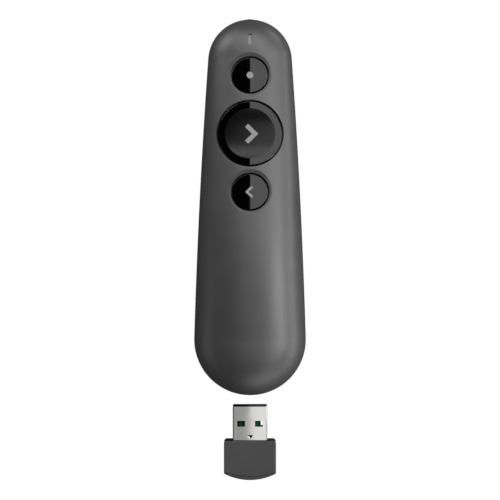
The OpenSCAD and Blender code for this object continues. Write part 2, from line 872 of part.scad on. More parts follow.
shell_t = 0.3;
window_w = 2.6;
window_l = 2.05;
window_x = 3.08;
window_y = rcv_root_y + 5.76;
module receiver_plug() {
    color([0.8, 0.8, 0.82])
    difference() {
        translate([-plug_w / 2, rcv_root_y - 3, rcv_z - plug_t / 2])
            cube([plug_w, plug_l + 3, plug_t]);
        translate([-plug_w / 2 + shell_t, rcv_root_y - 4, rcv_z - plug_t / 2 + shell_t])
            cube([plug_w - 2 * shell_t, plug_l + 6, plug_t - 2 * shell_t]);
        translate([0, rcv_root_y + 1.1, rcv_z + plug_t / 2 - 0.12])
            linear_extrude(1)
                polygon([[-1.1, 0.7], [0, -0.8], [1.1, 0.7]]);
        slab(-0.06, 0.06, rcv_root_y, rcv_tip_y + 1,
             rcv_z - plug_t / 2 - 1, rcv_z - plug_t / 2 + shell_t + eps);
        for (x = [-window_x, window_x])
            translate([x - window_w / 2, window_y - window_l / 2, rcv_z - plug_t])
                cube([window_w, window_l, 2 * plug_t]);
    }
}

tongue_t = 1.1;
rcv_board_t = 0.8;
rcv_inner_z = rcv_z - plug_t / 2 + shell_t;
module receiver_tongue() {
    color([0.05, 0.05, 0.05])
        slab(-plug_w / 2 + shell_t, plug_w / 2 - shell_t, rcv_root_y - 2.5, rcv_tip_y - 0.4,
             rcv_inner_z, rcv_inner_z + tongue_t);
}

module receiver_board() {
    color([0.02, 0.22, 0.12])
        slab(-3.75, 3.75, rcv_root_y - 9.5, rcv_tip_y - 0.6,
             rcv_inner_z + tongue_t, rcv_inner_z + tongue_t + rcv_board_t);
}

// Four contact strips: the outer two, for power, are the longer ones
module receiver_contacts() {
    z = rcv_inner_z + tongue_t + rcv_board_t;
    color([0.85, 0.68, 0.3])
    for (x = [-3, -1, 1, 3])
        slab(x - 0.5, x + 0.5, rcv_tip_y - (abs(x) > 2 ? 5 : 4.4), rcv_tip_y - 1.2, z, z + 0.1);
}

top_shell();
bottom_shell();
battery_door();
mid_frame();
laser_button();
next_button();
back_button();
plunger(laser_y);  // laser_plunger
plunger(next_y);  // next_plunger
plunger(back_y);  // back_plunger
switch_body(laser_y);  // laser_switch
switch_body(next_y);  // next_switch
switch_body(back_y);  // back_switch
main_board();
board_chips();
status_led();
led_flex();
led_window();
laser_barrel();
laser_lens();
laser_leads();
nose_window();
battery_left();
battery_right();
battery_springs();
battery_contacts();
case_screws();
receiver_housing();
receiver_plug();
receiver_tongue();
receiver_board();
receiver_contacts();
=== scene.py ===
# %% [markdown]
# # A wireless presentation clicker
#
# The clicker is a palm-sized plastic body with three glossy buttons, a laser in its nose and a
# USB receiver that slides into its tail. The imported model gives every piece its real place.
# This script gives each piece its finish, and makes finer meshes where a moulded surface shows.

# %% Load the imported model
import math

import bpy
import numpy as np
from mathutils import Matrix, Vector
from mathutils.geometry import delaunay_2d_cdt

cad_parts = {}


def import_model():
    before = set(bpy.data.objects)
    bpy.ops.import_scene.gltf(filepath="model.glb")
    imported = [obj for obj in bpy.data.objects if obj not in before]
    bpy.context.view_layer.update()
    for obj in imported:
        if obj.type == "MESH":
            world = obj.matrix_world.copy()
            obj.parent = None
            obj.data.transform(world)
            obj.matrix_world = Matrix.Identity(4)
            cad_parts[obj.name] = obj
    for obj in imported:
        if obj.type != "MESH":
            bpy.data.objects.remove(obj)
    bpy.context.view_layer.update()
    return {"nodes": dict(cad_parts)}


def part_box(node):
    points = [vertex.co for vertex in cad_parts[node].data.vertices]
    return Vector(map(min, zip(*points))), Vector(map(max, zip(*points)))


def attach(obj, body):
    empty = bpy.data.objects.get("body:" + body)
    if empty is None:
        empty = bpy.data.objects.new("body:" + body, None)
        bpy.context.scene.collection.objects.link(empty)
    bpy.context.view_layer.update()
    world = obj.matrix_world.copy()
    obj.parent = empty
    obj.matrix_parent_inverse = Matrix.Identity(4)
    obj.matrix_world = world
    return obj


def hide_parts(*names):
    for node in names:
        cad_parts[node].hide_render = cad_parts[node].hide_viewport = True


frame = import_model()
NODES = frame["nodes"]
MM = 0.001

# %% [markdown]
# ## The body's form
#
# A moulded body like this one is drawn as an outline and a few profiles. Seen from above, the
# outline is the envelope of circles that grow from the nose to the tail. Across, the skin is a
# superellipse: a little squarer than an ellipse, so it fills the palm. Writing it as a formula
# lets one function give the height and the normal anywhere, which a sculpted mesh can't.

# %% Sizes of the body
lower_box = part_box("bottom_shell")
upper_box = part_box("top_shell")
PART_Z = 11 * MM         # height of the joint between the casings
TAIL_R = (lower_box[1].x - lower_box[0].x) / 2
NOSE_R = 14.4 * MM
SIDE_BOW = 0.5 * MM      # how far the long sides swell
RIM_STEP = 0.25 * MM     # how far the lower casing stands proud of the upper one
WALL = 1.8 * MM
NOSE_Y = lower_box[1].y - NOSE_R
TAIL_Y = lower_box[0].y + TAIL_R
SPINE_L = NOSE_Y - TAIL_Y
BODY_H = upper_box[1].z
UPPER_N = 2.35           # powers of the superellipses: crown, belly and heel
BELLY_N = 3.0
HEEL_N = 7.0
HUMP_Y = -12 * MM        # the highest point, and where the straight button deck starts
DECK_Y = 8 * MM
DECK_A = math.radians(5.7)
DECK_SLOPE = math.tan(DECK_A)
HUMP_C = DECK_SLOPE / (2 * (DECK_Y - HUMP_Y))
LAND_SINK = 0.6 * MM     # how much of the belly the flat land cuts away
RISE_Y = 30 * MM         # from here the belly rises to the nose
RISE_C = 5.5 * MM / (NOSE_Y - RISE_Y) ** 2
print("body", [round(v / MM, 2) for v in (TAIL_R * 2, SPINE_L + NOSE_R + TAIL_R, BODY_H)], "mm")

# %% [markdown]
# ## Formulas of the skin
#
# The mould's cavity was drawn with the same few rules: a crown line along the body, an outline,
# and a profile across. Each function takes whole arrays, so thousands of points are placed at
# once, and every later mesh, from the casings to the button signs, gets its height from here.

# %% Formulas of the skin
def crown_z(y):
    """Height of the upper casing's middle line."""
    hump = BODY_H - HUMP_C * (y - HUMP_Y) ** 2
    deck = BODY_H - HUMP_C * (DECK_Y - HUMP_Y) ** 2 - DECK_SLOPE * (y - DECK_Y)
    return np.where(y < DECK_Y, hump, deck)


def belly_z(y):
    """Height of the lower casing's middle line, before the land is cut flat."""
    return -LAND_SINK + np.where(y < RISE_Y, 0.0, RISE_C * (y - RISE_Y) ** 2)


def spine_r(t):
    """Radius of the outline's circle at a share t of the way from the nose to the tail."""
    return NOSE_R + (TAIL_R - NOSE_R) * t + 4 * SIDE_BOW * t * (1 - t)


def spine_slope(t):
    """How fast that radius grows along the spine."""
    return ((TAIL_R - NOSE_R) + 4 * SIDE_BOW * (1 - 2 * t)) / SPINE_L


def locate(x, y):
    """For points in plan: their circle's middle on the spine, its radius, and how far and which way it is."""
    foot = np.clip(y, TAIL_Y, NOSE_Y)
    for _ in range(4):
        t = (NOSE_Y - foot) / SPINE_L
        s = spine_slope(t)
        foot = np.clip(y - np.abs(x) * s / np.sqrt(1 - s * s), TAIL_Y, NOSE_Y)
    t = (NOSE_Y - foot) / SPINE_L
    dx, dy = x, y - foot
    d = np.hypot(dx, dy)
    return foot, spine_r(t), d, dy / np.maximum(d, 1e-9)


def upper_height(x, y, depth=0.0):
    """Height of the plain painted skin, or of the surface that lies a depth inside it."""
    foot, r, d, _ = locate(x, y)
    rho = np.clip(d / (r - RIM_STEP - depth), 0, 1)
    return PART_Z + (crown_z(foot) - PART_Z - depth) * (1 - rho ** UPPER_N) ** (1 / UPPER_N)


def heel_n(dir_y):
    """The belly's power, which grows to the heel's towards the tail."""
    return BELLY_N + (HEEL_N - BELLY_N) * np.maximum(0, -dir_y) ** 2


def stations(count):
    """Points spaced evenly round the outline: spine middle, direction and radius."""
    edge = math.asin(spine_slope(0.0))
    tail_edge = math.asin(spine_slope(1.0))
    nose_l = NOSE_R * (math.pi - 2 * edge)
    tail_l = TAIL_R * (math.pi + 2 * tail_edge)
    total = nose_l + tail_l + 2 * SPINE_L
    feet, angles, radii = [], [], []
    for i in range(count):
        s = total * i / count
        if s < nose_l:
            foot, a = NOSE_Y, edge + s / NOSE_R
        elif s < nose_l + SPINE_L:
            t = (s - nose_l) / SPINE_L
            foot, a = NOSE_Y - SPINE_L * t, math.pi - math.asin(spine_slope(t))
        elif s < nose_l + SPINE_L + tail_l:
            foot, a = TAIL_Y, math.pi - tail_edge + (s - nose_l - SPINE_L) / TAIL_R
        else:
            t = 1 - (s - nose_l - SPINE_L - tail_l) / SPINE_L
            foot, a = NOSE_Y - SPINE_L * t, math.asin(spine_slope(t))
        feet.append(foot)
        angles.append(a)
        radii.append(spine_r((NOSE_Y - foot) / SPINE_L))
    return np.array(feet), np.array(angles), np.array(radii)


def ring(rho, inset, count):
    """Plan points of the outline brought in to a share rho of its radius."""
    feet, angles, radii = stations(count)
    out = (radii - inset) * rho
    return np.stack([out * np.cos(angles), feet + out * np.sin(angles)], 1)


# %% [markdown]
# ## Mesh helpers
#
# Each piece is written as lists of points and faces. A few helpers cover what repeats: making
# the object, lofting between rings, turning a profile, and cutting one solid from another. Cuts
# and welds are applied at once, so that what follows works on the finished mesh.

# %% Mesh helpers
def new_mesh(name, points, faces):
    mesh = bpy.data.meshes.new(name)
    mesh.from_pydata([tuple(p) for p in points], [], [tuple(int(i) for i in f) for f in faces])
    return mesh


def add_piece(name, points, faces, body, slot, sharp=32):
    """A mesh object that rides on a body. Edges sharper than the angle stay crisp."""
    mesh = new_mesh(name, points, faces)
    mesh.validate()
    mesh.polygons.foreach_set("use_smooth", [True] * len(mesh.polygons))
    mesh.set_sharp_from_angle(angle=math.radians(sharp))
    piece = bpy.data.objects.new(name, mesh)
    bpy.context.scene.collection.objects.link(piece)
    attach(piece, body)
    return piece


def dress(piece, *materials):
    """Gives a piece its materials, in the order of its faces' indices."""
    piece.data.materials.clear()
    for material in materials:
        piece.data.materials.append(material)


def loft(rings, capped=True):
    """Quads between closed rings of the same number of points, with flat caps if wanted."""
    count = len(rings[0])
    points = np.concatenate(rings)
    faces = []
    for k in range(len(rings) - 1):
        for i in range(count):
            j = (i + 1) % count
            faces.append((k * count + i, k * count + j, (k + 1) * count + j, (k + 1) * count + i))
    if capped:
        faces.append(tuple(range(count - 1, -1, -1)))
        last = (len(rings) - 1) * count
        faces.append(tuple(last + i for i in range(count)))
    return points, faces


def open_edges(faces):
    """Edges that only one face uses, in that face's direction."""
    used = {edge: None for f in faces for edge in zip(f, f[1:] + f[:1])}
    return [(a, b) for a, b in used if (b, a) not in used]


def modify(piece, kind, **settings):
    """Adds a modifier and applies it to the mesh at once."""
    modifier = piece.modifiers.new(kind, kind)
    for key, value in settings.items():
        setattr(modifier, key, value)
    depsgraph = bpy.context.evaluated_depsgraph_get()
    mesh = bpy.data.meshes.new_from_object(piece.evaluated_get(depsgraph))
    piece.modifiers.clear()
    old = piece.data
    piece.data = mesh
    bpy.data.meshes.remove(old)


def cut(piece, cutters, operation="DIFFERENCE", sharp=32):
    """Cuts solids, given as points and faces, out of a piece."""
    for points, faces in cutters:
        mesh = new_mesh("cutter", points, faces)
        tool = bpy.data.objects.new("cutter", mesh)
        bpy.context.scene.collection.objects.link(tool)
        modify(piece, "BOOLEAN", object=tool, operation=operation, solver="EXACT")
        bpy.data.objects.remove(tool)
        bpy.data.meshes.remove(mesh)
    piece.data.polygons.foreach_set("use_smooth", [True] * len(piece.data.polygons))
    piece.data.set_sharp_from_angle(angle=math.radians(sharp))


def level(plan, z):
    """Plan points as a ring at one height."""
    return np.column_stack([plan, np.full(len(plan), z)])


def circle(r, count):
    """A circle of points in plan."""
    a = np.linspace(0, 2 * math.pi, count, endpoint=False)
    return np.stack([r * np.cos(a), r * np.sin(a)], 1)


def box_solid(low, high):
    """A box between two corners, as points and faces."""
    x0, y0, z0 = low
    x1, y1, z1 = high
    return loft([level([(x0, y0), (x1, y0), (x1, y1), (x0, y1)], z) for z in (z0, z1)])


def turned(profile, count=64):
    """A profile of (radius, height) turned round the z axis, closed at both ends."""
    return loft([level(circle(r, count), z) for r, z in profile])


def on_deck(points, y):
    """Moves points from the button deck's own frame to the model's frame."""
    points = np.asarray(points, float)
    c, s = math.cos(DECK_A), math.sin(DECK_A)
    out = points.copy()
    out[:, 1] = y + points[:, 1] * c + points[:, 2] * s
    out[:, 2] = float(crown_z(np.array(y))) - points[:, 1] * s + points[:, 2] * c
    return out


def packed_inside(node, name, body, inside):
    """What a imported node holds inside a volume: its ribs, bosses and walls."""
    source = NODES[node]
    mesh = source.data.copy()
    mesh.transform(source.matrix_world)
    mesh.materials.clear()
    piece = bpy.data.objects.new(name, mesh)
    bpy.context.scene.collection.objects.link(piece)
    modify(piece, "WELD", merge_threshold=2e-6)
    cut(piece, [inside], operation="INTERSECT", sharp=30)
    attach(piece, body)
    return piece


def rounded_outline(half_w, half_l, radius, steps=8):
    """A rectangle with round corners, counter-clockwise."""
    points = []
    for cx, cy, start in ((1, 1, 0), (-1, 1, 90), (-1, -1, 180), (1, -1, 270)):
        for k in range(steps + 1):
            a = math.radians(start + 90 * k / steps)
            points.append((cx * (half_w - radius) + radius * math.cos(a),
                           cy * (half_l - radius) + radius * math.sin(a)))
    return np.array(points)


# %% [markdown]
# ## Colours and material nodes
#
# Colours are picked as sRGB hex values, as a paint chart gives them, and one function turns
# them to the linear values that the shader works with. One small function adds a node. No real
# surface is one even value, so each finish gets two scales of noise: a grain of its own real
# size, which moves the colour and the height, and soft patches of handling wear some 9 mm wide,
# which move the shine.

# %% Colour and node helpers
PATCH_MM = 9


def hex_rgb(code):
    """An sRGB hex value as linear red, green, blue and alpha."""
    channels = [int(code[i:i + 2], 16) / 255 for i in (0, 2, 4)]
    linear = [c / 12.92 if c <= 0.04045 else ((c + 0.055) / 1.055) ** 2.4 for c in channels]
    return (*linear, 1.0)


def add_node(tree, kind, links=None, **settings):
    """Adds a node, sets its sockets or properties, and links its inputs to other nodes' outputs."""
    node = tree.nodes.new(kind)
    for key, value in settings.items():
        if key in node.inputs:
            node.inputs[key].default_value = value
        else:
            setattr(node, key, value)
    for socket, source in (links or {}).items():
        tree.links.new(source, node.inputs[socket])
    return node


def new_material(name, color, roughness, metallic, ior):
    """A Principled material with its plain values set. A metal keeps the shader's own index."""
    material = bpy.data.materials.new(name)
    material.use_nodes = True
    tree = material.node_tree
    bsdf = tree.nodes["Principled BSDF"]
    bsdf.inputs["Base Color"].default_value = hex_rgb(color)
    bsdf.inputs["Roughness"].default_value = roughness
    bsdf.inputs["Metallic"].default_value = metallic
    if not metallic:
        bsdf.inputs["IOR"].default_value = ior
    material.diffuse_color = hex_rgb(color)
    return material, tree, bsdf


def grain(tree, bsdf, size_mm, height_mm, colors, rough, stretch):
    """Noise grains of a real size that vary the colour, the roughness and the surface height."""
    place = add_node(tree, "ShaderNodeTexCoord")
    spread = add_node(tree, "ShaderNodeMapping", {"Vector": place.outputs["Object"]}, Scale=stretch)
    noise = add_node(tree, "ShaderNodeTexNoise", {"Vector": spread.outputs["Vector"]},
                     Scale=1 / (size_mm * MM), Detail=2.0)
    patches = add_node(tree, "ShaderNodeTexNoise", {"Vector": place.outputs["Object"]},
                       Scale=1 / (PATCH_MM * MM), Detail=3.0)
    both = add_node(tree, "ShaderNodeMath", {0: noise.outputs["Fac"], 1: patches.outputs["Fac"]})
    tone = add_node(tree, "ShaderNodeMapRange", {"Value": both.outputs["Value"]},
                    **{"From Min": 0.6, "From Max": 1.4})
    mix = add_node(tree, "ShaderNodeMix", {"Factor": tone.outputs["Result"]}, data_type="RGBA")
    mix.inputs[6].default_value = hex_rgb(colors[0])
    mix.inputs[7].default_value = hex_rgb(colors[1])
    tree.links.new(mix.outputs[2], bsdf.inputs["Base Color"])
    shine = add_node(tree, "ShaderNodeMapRange", {"Value": patches.outputs["Fac"]},
                     **{"From Min": 0.3, "From Max": 0.7, "To Min": rough[0], "To Max": rough[1]})
    tree.links.new(shine.outputs["Result"], bsdf.inputs["Roughness"])
    bump = add_node(tree, "ShaderNodeBump", {"Height": noise.outputs["Fac"]},
                    Strength=1.0, Distance=height_mm * MM)
    tree.links.new(bump.outputs["Normal"], bsdf.inputs["Normal"])


def finish(name, color, roughness, size_mm, height_mm, colors, rough, metallic=0.0, ior=1.5,
           stretch=(1, 1, 1)):
    """A named surface: its plain values, and the grain that varies them."""
    material, tree, bsdf = new_material(name, color, roughness, metallic, ior)
    grain(tree, bsdf, size_mm, height_mm, colors, rough, stretch)
    return material


# %% [markdown]
# ## Plastics and paints
#
# Almost all that shows is moulded plastic. The mould's own surface decides how each one shines:
# a polished cavity gives a mirror, a spark-eroded one a soft sheen. The upper casing is sprayed
# over, and the signs are pad printed. Each line below gives a name, a colour, a roughness, the
# grain's size and height in millimetres, its two tones, and the range of the roughness.

# %% Plastics and paints
# ABS sprayed with a graphite paint with fine metal flake. The half-metallic shade gives the eye a
# broad soft band of light that fades to nearly black at the sides. Real flake is about 0.03 mm
# wide; it is drawn at 0.16 mm, since finer grains would only flicker.
CASING = finish("sprayed_graphite_metallic_paint", "6c6c6c", 0.46, 0.16, 0.0025, ("696969", "6f6f6f"),
                (0.44, 0.48), metallic=0.6)
# The same paint made darker on the sunk rims: a painted shade for the shade that falls in these shallow wells
PAINTED_SHADE_RIM = finish("graphite_paint_with_painted_shade_in_sunk_rims", "5b5b5b", 0.46, 0.16, 0.0025, ("585858", "5e5e5e"),
             (0.44, 0.48), metallic=0.6)
# Unpainted ABS from an eroded mould: near black and dull, which draws the dark line round the body
LOWER = finish("moulded_black_abs", "1c1c1e", 0.45, 0.3, 0.006, ("1a1a1c", "222224"), (0.42, 0.52))
# Polycarbonate from a polished cavity. It mirrors the room, so the eye sees black where nothing
# hangs over it and a clear grey edge where the softbox starts.
GLOSS = finish("polished_black_polycarbonate", "030303", 0.01, 0.5, 0.00001, ("020202", "040404"),
               (0.005, 0.02), ior=1.55)
# The same plastic where the cavity is eroded: the dish only glows a little towards the tail
DISH = finish("textured_black_polycarbonate", "050505", 0.26, 0.12, 0.002, ("040404", "070707"),
              (0.24, 0.28), ior=1.38)
# Matt ink laid on by a silicone pad: a flat light grey that stays readable in any reflection
INK = finish("pad_printed_grey_ink", "a3a3a3", 0.5, 0.15, 0.002, ("9e9e9e", "a8a8a8"), (0.45, 0.6))
# Coarser eroded ABS: the receiver looks drier and flatter than the painted body
RECEIVER = finish("textured_grey_abs", "515151", 0.5, 0.25, 0.008, ("4c4c4c", "565656"), (0.46, 0.56))
# Inner mouldings come from a plain machined mould, so they look a little blotchy
FRAME_ABS = finish("moulded_grey_abs", "303033", 0.5, 0.4, 0.005, ("2c2c2f", "37373a"), (0.45, 0.6))
# Acrylic blasted matt, so the lamp under it shows as an even pale bar
LED_PIPE = finish("frosted_light_pipe", "929292", 0.4, 0.2, 0.002, ("8d8d8d", "979797"), (0.36, 0.46))
print("plastics", [m.name for m in (CASING, PAINTED_SHADE_RIM, LOWER, GLOSS, DISH, INK, RECEIVER, FRAME_ABS, LED_PIPE)])

# %% [markdown]
# ## Metals, boards and cells
#
# Metals keep the shader's own index and take their colour from the metal. What shows of them is
# the receiver's plug. The rest is inside, and is seen when the door or the receiver is out.

# %% Metals, boards and cells
BAND_FROM = 0.36         # where the bands start, as a share of the length from the middle


def print_bands(tree):
    """Dark printed bands near both ends of a cell's sleeve."""
    color = tree.nodes["Principled BSDF"].inputs["Base Color"]
    place = add_node(tree, "ShaderNodeTexCoord")
    split = add_node(tree, "ShaderNodeSeparateXYZ", {0: place.outputs["Generated"]})
    away = add_node(tree, "ShaderNodeMath", {0: split.outputs["Y"]}, operation="SUBTRACT")
    away.inputs[1].default_value = 0.5
    far = add_node(tree, "ShaderNodeMath", {0: away.outputs["Value"]}, operation="ABSOLUTE")
    band = add_node(tree, "ShaderNodeMath", {0: far.outputs["Value"]}, operation="GREATER_THAN")
    band.inputs[1].default_value = BAND_FROM
    mix = add_node(tree, "ShaderNodeMix", {"Factor": band.outputs["Value"], 6: color.links[0].from_socket},
                   data_type="RGBA")
    mix.inputs[7].default_value = hex_rgb("1a1a1c")
    tree.links.new(mix.outputs[2], color)


# Rolled steel strip, nickel plated bright: a near mirror whose faint lines run along the strip
NICKEL = finish("nickel_plated_steel", "bcbbb8", 0.05, 0.15, 0.0001, ("b7b6b3", "c1c0bd"), (0.04, 0.06),
                metallic=1.0, stretch=(1, 0.05, 1))
# Lacquer screened over copper: deep green with a soft shine
BOARD = finish("green_solder_mask", "04452c", 0.45, 0.3, 0.004, ("033c26", "065034"), (0.4, 0.52))
# The same lacquer made brighter: painted light, so the board in the plug's dim inside shows clear green
# through the small windows
BOARD_WITH_PAINTED_LIGHT = finish("green_solder_mask_with_painted_light", "06945a", 0.55, 0.3, 0.004, ("058a52", "079c60"),
                      (0.5, 0.62))
# Flash-plated copper: a warm metal, soft enough not to sparkle
GOLD = finish("gold_plated_copper", "d8b060", 0.25, 0.2, 0.001, ("cfa757", "e0bb70"), (0.2, 0.32),
              metallic=1.0)
# Nylon moulded straight from the tool: the darkest and dullest surface of all
INSULATOR = finish("black_moulded_insulator", "0c0c0c", 0.5, 0.2, 0.004, ("0a0a0a", "121212"), (0.45, 0.6))
# Shrunk printed film: smooth, with a long clear highlight down each cell
SLEEVE = finish("printed_cell_sleeve", "b08a45", 0.3, 0.5, 0.002, ("a9823e", "b9954f"), (0.24, 0.36))
print_bands(SLEEVE.node_tree)
# Zinc plating under black chromate: dark, with the glint of metal on its edges
SCREW = finish("black_zinc_screw", "4a4a4d", 0.35, 0.2, 0.002, ("424245", "525256"), (0.3, 0.42),
               metallic=1.0)
print("metals and boards", [m.name for m in (NICKEL, BOARD, BOARD_WITH_PAINTED_LIGHT, GOLD, INSULATOR, SLEEVE, SCREW)])

# %% [markdown]
# ## The upper casing
#
# One painted shell. The steep sides are rings of quads, and the top, which the buttons pierce,
# is a flat triangulation whose points lie on rings round each hole. Every point is then lifted
# to the formula's height, so the holes are truly round and their rims can have a real radius.

# %% Places of the buttons and the LED
LASER_Y, NEXT_Y, BACK_Y = 59.2 * MM, 39.35 * MM, 19.7 * MM
SMALL_HOLE_R = 6.5 * MM
BIG_HOLE_R = 11.33 * MM
WELL_R = 7.35 * MM       # the sunk rim round a small button: radius, shift to the nose and depth
WELL_SHIFT = 0.25 * MM
WELL_DEPTH = 0.2 * MM
EDGE_R = 0.09 * MM       # the soft edge of each hole
LED_Y = NOSE_Y + 6.25 * MM
LED_HALF = (0.67 * MM, 1.95 * MM)
HOLES = [(LASER_Y, SMALL_HOLE_R, True), (NEXT_Y, BIG_HOLE_R, False), (BACK_Y, SMALL_HOLE_R, True)]


def deck_distance(x, y, cy):
    """Distance along the tilted deck from a button's middle, for points in plan."""
    return np.hypot(x, (y - cy) / math.cos(DECK_A))


def top_skin(x, y):
    """Height of the painted skin with the sunk rims round the small buttons and the soft hole edges."""
    z = upper_height(x, y)
    for cy, r, sunk in HOLES:
        if sunk:
            share = np.clip((WELL_R - deck_distance(x, y, cy + WELL_SHIFT)) / (WELL_R - r), 0, 1.0)
            z = z - WELL_DEPTH * share
        edge = np.clip((r + EDGE_R - deck_distance(x, y, cy)) / EDGE_R, 0, 1)
        z = z - EDGE_R * (1 - np.sqrt(1 - edge * edge * 0.999))
    return z


def circle_points(cy, r, count):
    """A circle on the tilted deck, seen in plan."""
    return circle(r, count) * (1, math.cos(DECK_A)) + (0, cy)


def capsule_points(grow, count=24):
    """The LED slot's outline in plan, grown by a distance."""
    half_w, half_l = LED_HALF
    r = half_w + grow
    a = np.linspace(0, math.pi, count)
    top = np.stack([r * np.cos(a), LED_Y + half_l - half_w + r * np.sin(a)], 1)
    bottom = np.stack([-r * np.cos(a), LED_Y - half_l + half_w - r * np.sin(a)], 1)
    return np.concatenate([top, bottom])

# %% [markdown]
# ## Meshing the painted skin
#
# An injection mould makes this shell in one shot, with one wall all over. The mesh follows that:
# first the outer skin, then a second skin one wall inside it, joined along the open edges. It
# could also be cut with booleans, but points on rings round each hole keep the shine clean
# where the light runs over the rims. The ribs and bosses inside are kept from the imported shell.

# %% Build the upper casing
RIM_COUNT = 320          # points round the outline, and round the volumes inside the skins
INSIDE_COUNT = 240
SIDE_STEP = 3            # degrees between the rings of the steep sides, and where they end
SIDE_END = 42
HOLE_COUNT = {True: 128, False: 208}
SPACING = 1.1 * MM       # between the loose points of the top
RHO_STEP = 0.066         # between the loose rings, as a share of the outline
UPPER_SKIN = WALL * 0.8  # thickness of the finer skin


def upper_casing():
    """The open outer skin, as points and faces."""
    rhos = [math.cos(math.radians(q)) ** (2 / UPPER_N) for q in range(0, SIDE_END + 1, SIDE_STEP)]
    sides = []
    for rho in rhos:
        plan = ring(rho, RIM_STEP, RIM_COUNT)
        sides.append(np.column_stack([plan, upper_height(plan[:, 0], plan[:, 1])]))
    sides[0][:, 2] = PART_Z
    loops, free = [ring(rhos[-1], RIM_STEP, RIM_COUNT)], []
    for cy, r, sunk in HOLES:
        count = HOLE_COUNT[sunk]
        loops.append(circle_points(cy, r, count))
        steps = [r + EDGE_R * k for k in (0.12, 0.3, 0.55, 1.0)]
        if sunk:
            slope = WELL_R - r - EDGE_R
            steps += [r + EDGE_R + slope * k for k in (0.1, 0.25, 0.4, 0.55, 0.7, 0.85, 0.94)]
        else:
            steps.append(r + 0.5 * MM)
        free += [circle_points(cy, radius, count) for radius in steps]
        if sunk:
            free += [circle_points(cy + WELL_SHIFT, WELL_R + extra * MM, count)
                     for extra in (-0.12, 0.0, 0.12, 0.5)]
    loops.append(capsule_points(0))
    for grow in (0.1, 0.3):
        free.append(capsule_points(grow * MM))
    rho = rhos[-1] - 0.02
    while rho > 0:
        perimeter = 2 * SPINE_L + 2 * math.pi * 16 * MM * rho
        free.append(ring(rho, RIM_STEP, int(perimeter / SPACING)))
        rho -= RHO_STEP
    free = np.concatenate(free)
    keep = np.ones(len(free), bool)
    for cy, r, _ in HOLES:
        keep &= deck_distance(free[:, 0], free[:, 1], cy) > r + 0.01 * MM
    _, radius, d, _ = locate(free[:, 0], free[:, 1])
    keep &= d < (radius - RIM_STEP) * rhos[-1] - 0.15 * MM
    beside_led = np.abs(free - (0, LED_Y)) - LED_HALF
    keep &= (beside_led >= 0.05 * MM).any(1)
    free = free[keep]
    starts = np.cumsum([0] + [len(l) for l in loops])
    edges = [(int(s + i), int(s + (i + 1) % len(l))) for s, l in zip(starts, loops) for i in range(len(l))]
    plan = np.concatenate(loops + [free])
    # The triangulation works in millimetres, which suits its tolerance
    scale = 1 / MM
    result = delaunay_2d_cdt([Vector(p * scale) for p in plan], edges, [], 0, 1e-5)
    flat = np.array([tuple(v) for v in result[0]]) / scale
    origin = result[3]
    faces = np.array(result[2])
    middle = flat[faces].mean(1)
    good = np.ones(len(faces), bool)
    for cy, r, _ in HOLES:
        good &= deck_distance(middle[:, 0], middle[:, 1], cy) > r * 0.999
    half_w, half_l = LED_HALF
    bar = np.maximum(np.abs(middle[:, 1] - LED_Y) - (half_l - half_w), 0)
    good &= np.hypot(middle[:, 0], bar) > half_w * 0.99
    faces = faces[good]
    top = np.column_stack([flat, top_skin(flat[:, 0], flat[:, 1])])
    # The first loop's points are the last ring of the sides, so the two parts share them
    number = {new: (len(sides) - 1) * RIM_COUNT + old
              for new, olds in enumerate(origin) for old in olds if old < RIM_COUNT}
    points = list(np.concatenate(sides))
    for i in range(len(top)):
        if i not in number:
            number[i] = len(points)
            points.append(top[i])
    _, quads = loft(sides, False)
    triangles = [tuple(number[i] for i in f) for f in faces]
    return np.array(points), quads + triangles


def thicken(points, faces, depth):
    """Closes an open skin with a second skin inside it and walls along its open edges."""
    # The inner skin follows the plain skin's normals, since the sharp hole edges would throw it outwards
    plain = points.copy()
    above = points[:, 2] > PART_Z + 1e-6
    plain[above, 2] = upper_height(points[above, 0], points[above, 1])
    normals = np.zeros_like(points)
    for f in faces:
        p = plain[list(f[:3])]
        n = np.cross(p[1] - p[0], p[2] - p[0])
        for i in f:
            normals[i] += n
    normals /= np.maximum(np.linalg.norm(normals, axis=1, keepdims=True), 1e-20)
    inner = points - normals * depth
    rims = open_edges(faces)
    for a, b in rims:
        for i in (a, b):
            if points[i][2] > PART_Z + 1e-6:
                inner[i] = points[i] - np.array((0, math.sin(DECK_A), math.cos(DECK_A))) * (depth + 0.6 * MM)
            else:
                inner[i][2] = PART_Z
    count = len(points)
    all_faces = list(faces) + [tuple(i + count for i in reversed(f)) for f in faces]
    all_faces += [(b, a, a + count, b + count) for a, b in rims]
    return np.concatenate([points, inner]), all_faces


casing = add_piece("painted_upper_casing", *thicken(*upper_casing(), UPPER_SKIN), "casing", "upper_casing",
                   sharp=40)
NOSE_BORE_R = 1.7 * MM   # the laser's opening in the nose, and its height
LASER_Z = 12.8 * MM
bore = turned([(NOSE_BORE_R, -6 * MM), (NOSE_BORE_R, 6 * MM)])
bore_points = np.column_stack([bore[0][:, 0], bore[0][:, 2] + lower_box[1].y, LASER_Z - bore[0][:, 1]])
cut(casing, [(bore_points, bore[1])], sharp=40)
dress(casing, CASING, PAINTED_SHADE_RIM)
# Faces of the sunk rims round the small buttons take the darker paint, a painted shade
for face in casing.data.polygons:
    x, y, z = face.center
    for cy, r, sunk in HOLES:
        around = deck_distance(x, y, cy + WELL_SHIFT)
        if sunk and z > PART_Z + 5 * MM and r - 0.1 * MM < around < WELL_R:
            face.material_index = 1


def upper_inside(depth):
    """The volume inside the painted skin."""
    rings = []
    for q in range(0, 90, 5):
        rho = math.cos(math.radians(q)) ** (2 / UPPER_N)
        plan = ring(rho, RIM_STEP + depth, INSIDE_COUNT)
        rings.append(np.column_stack([plan, upper_height(plan[:, 0], plan[:, 1], depth)]))
    low = rings[0].copy()
    low[:, 2] = PART_Z - 1 * MM
    return loft([low] + rings)


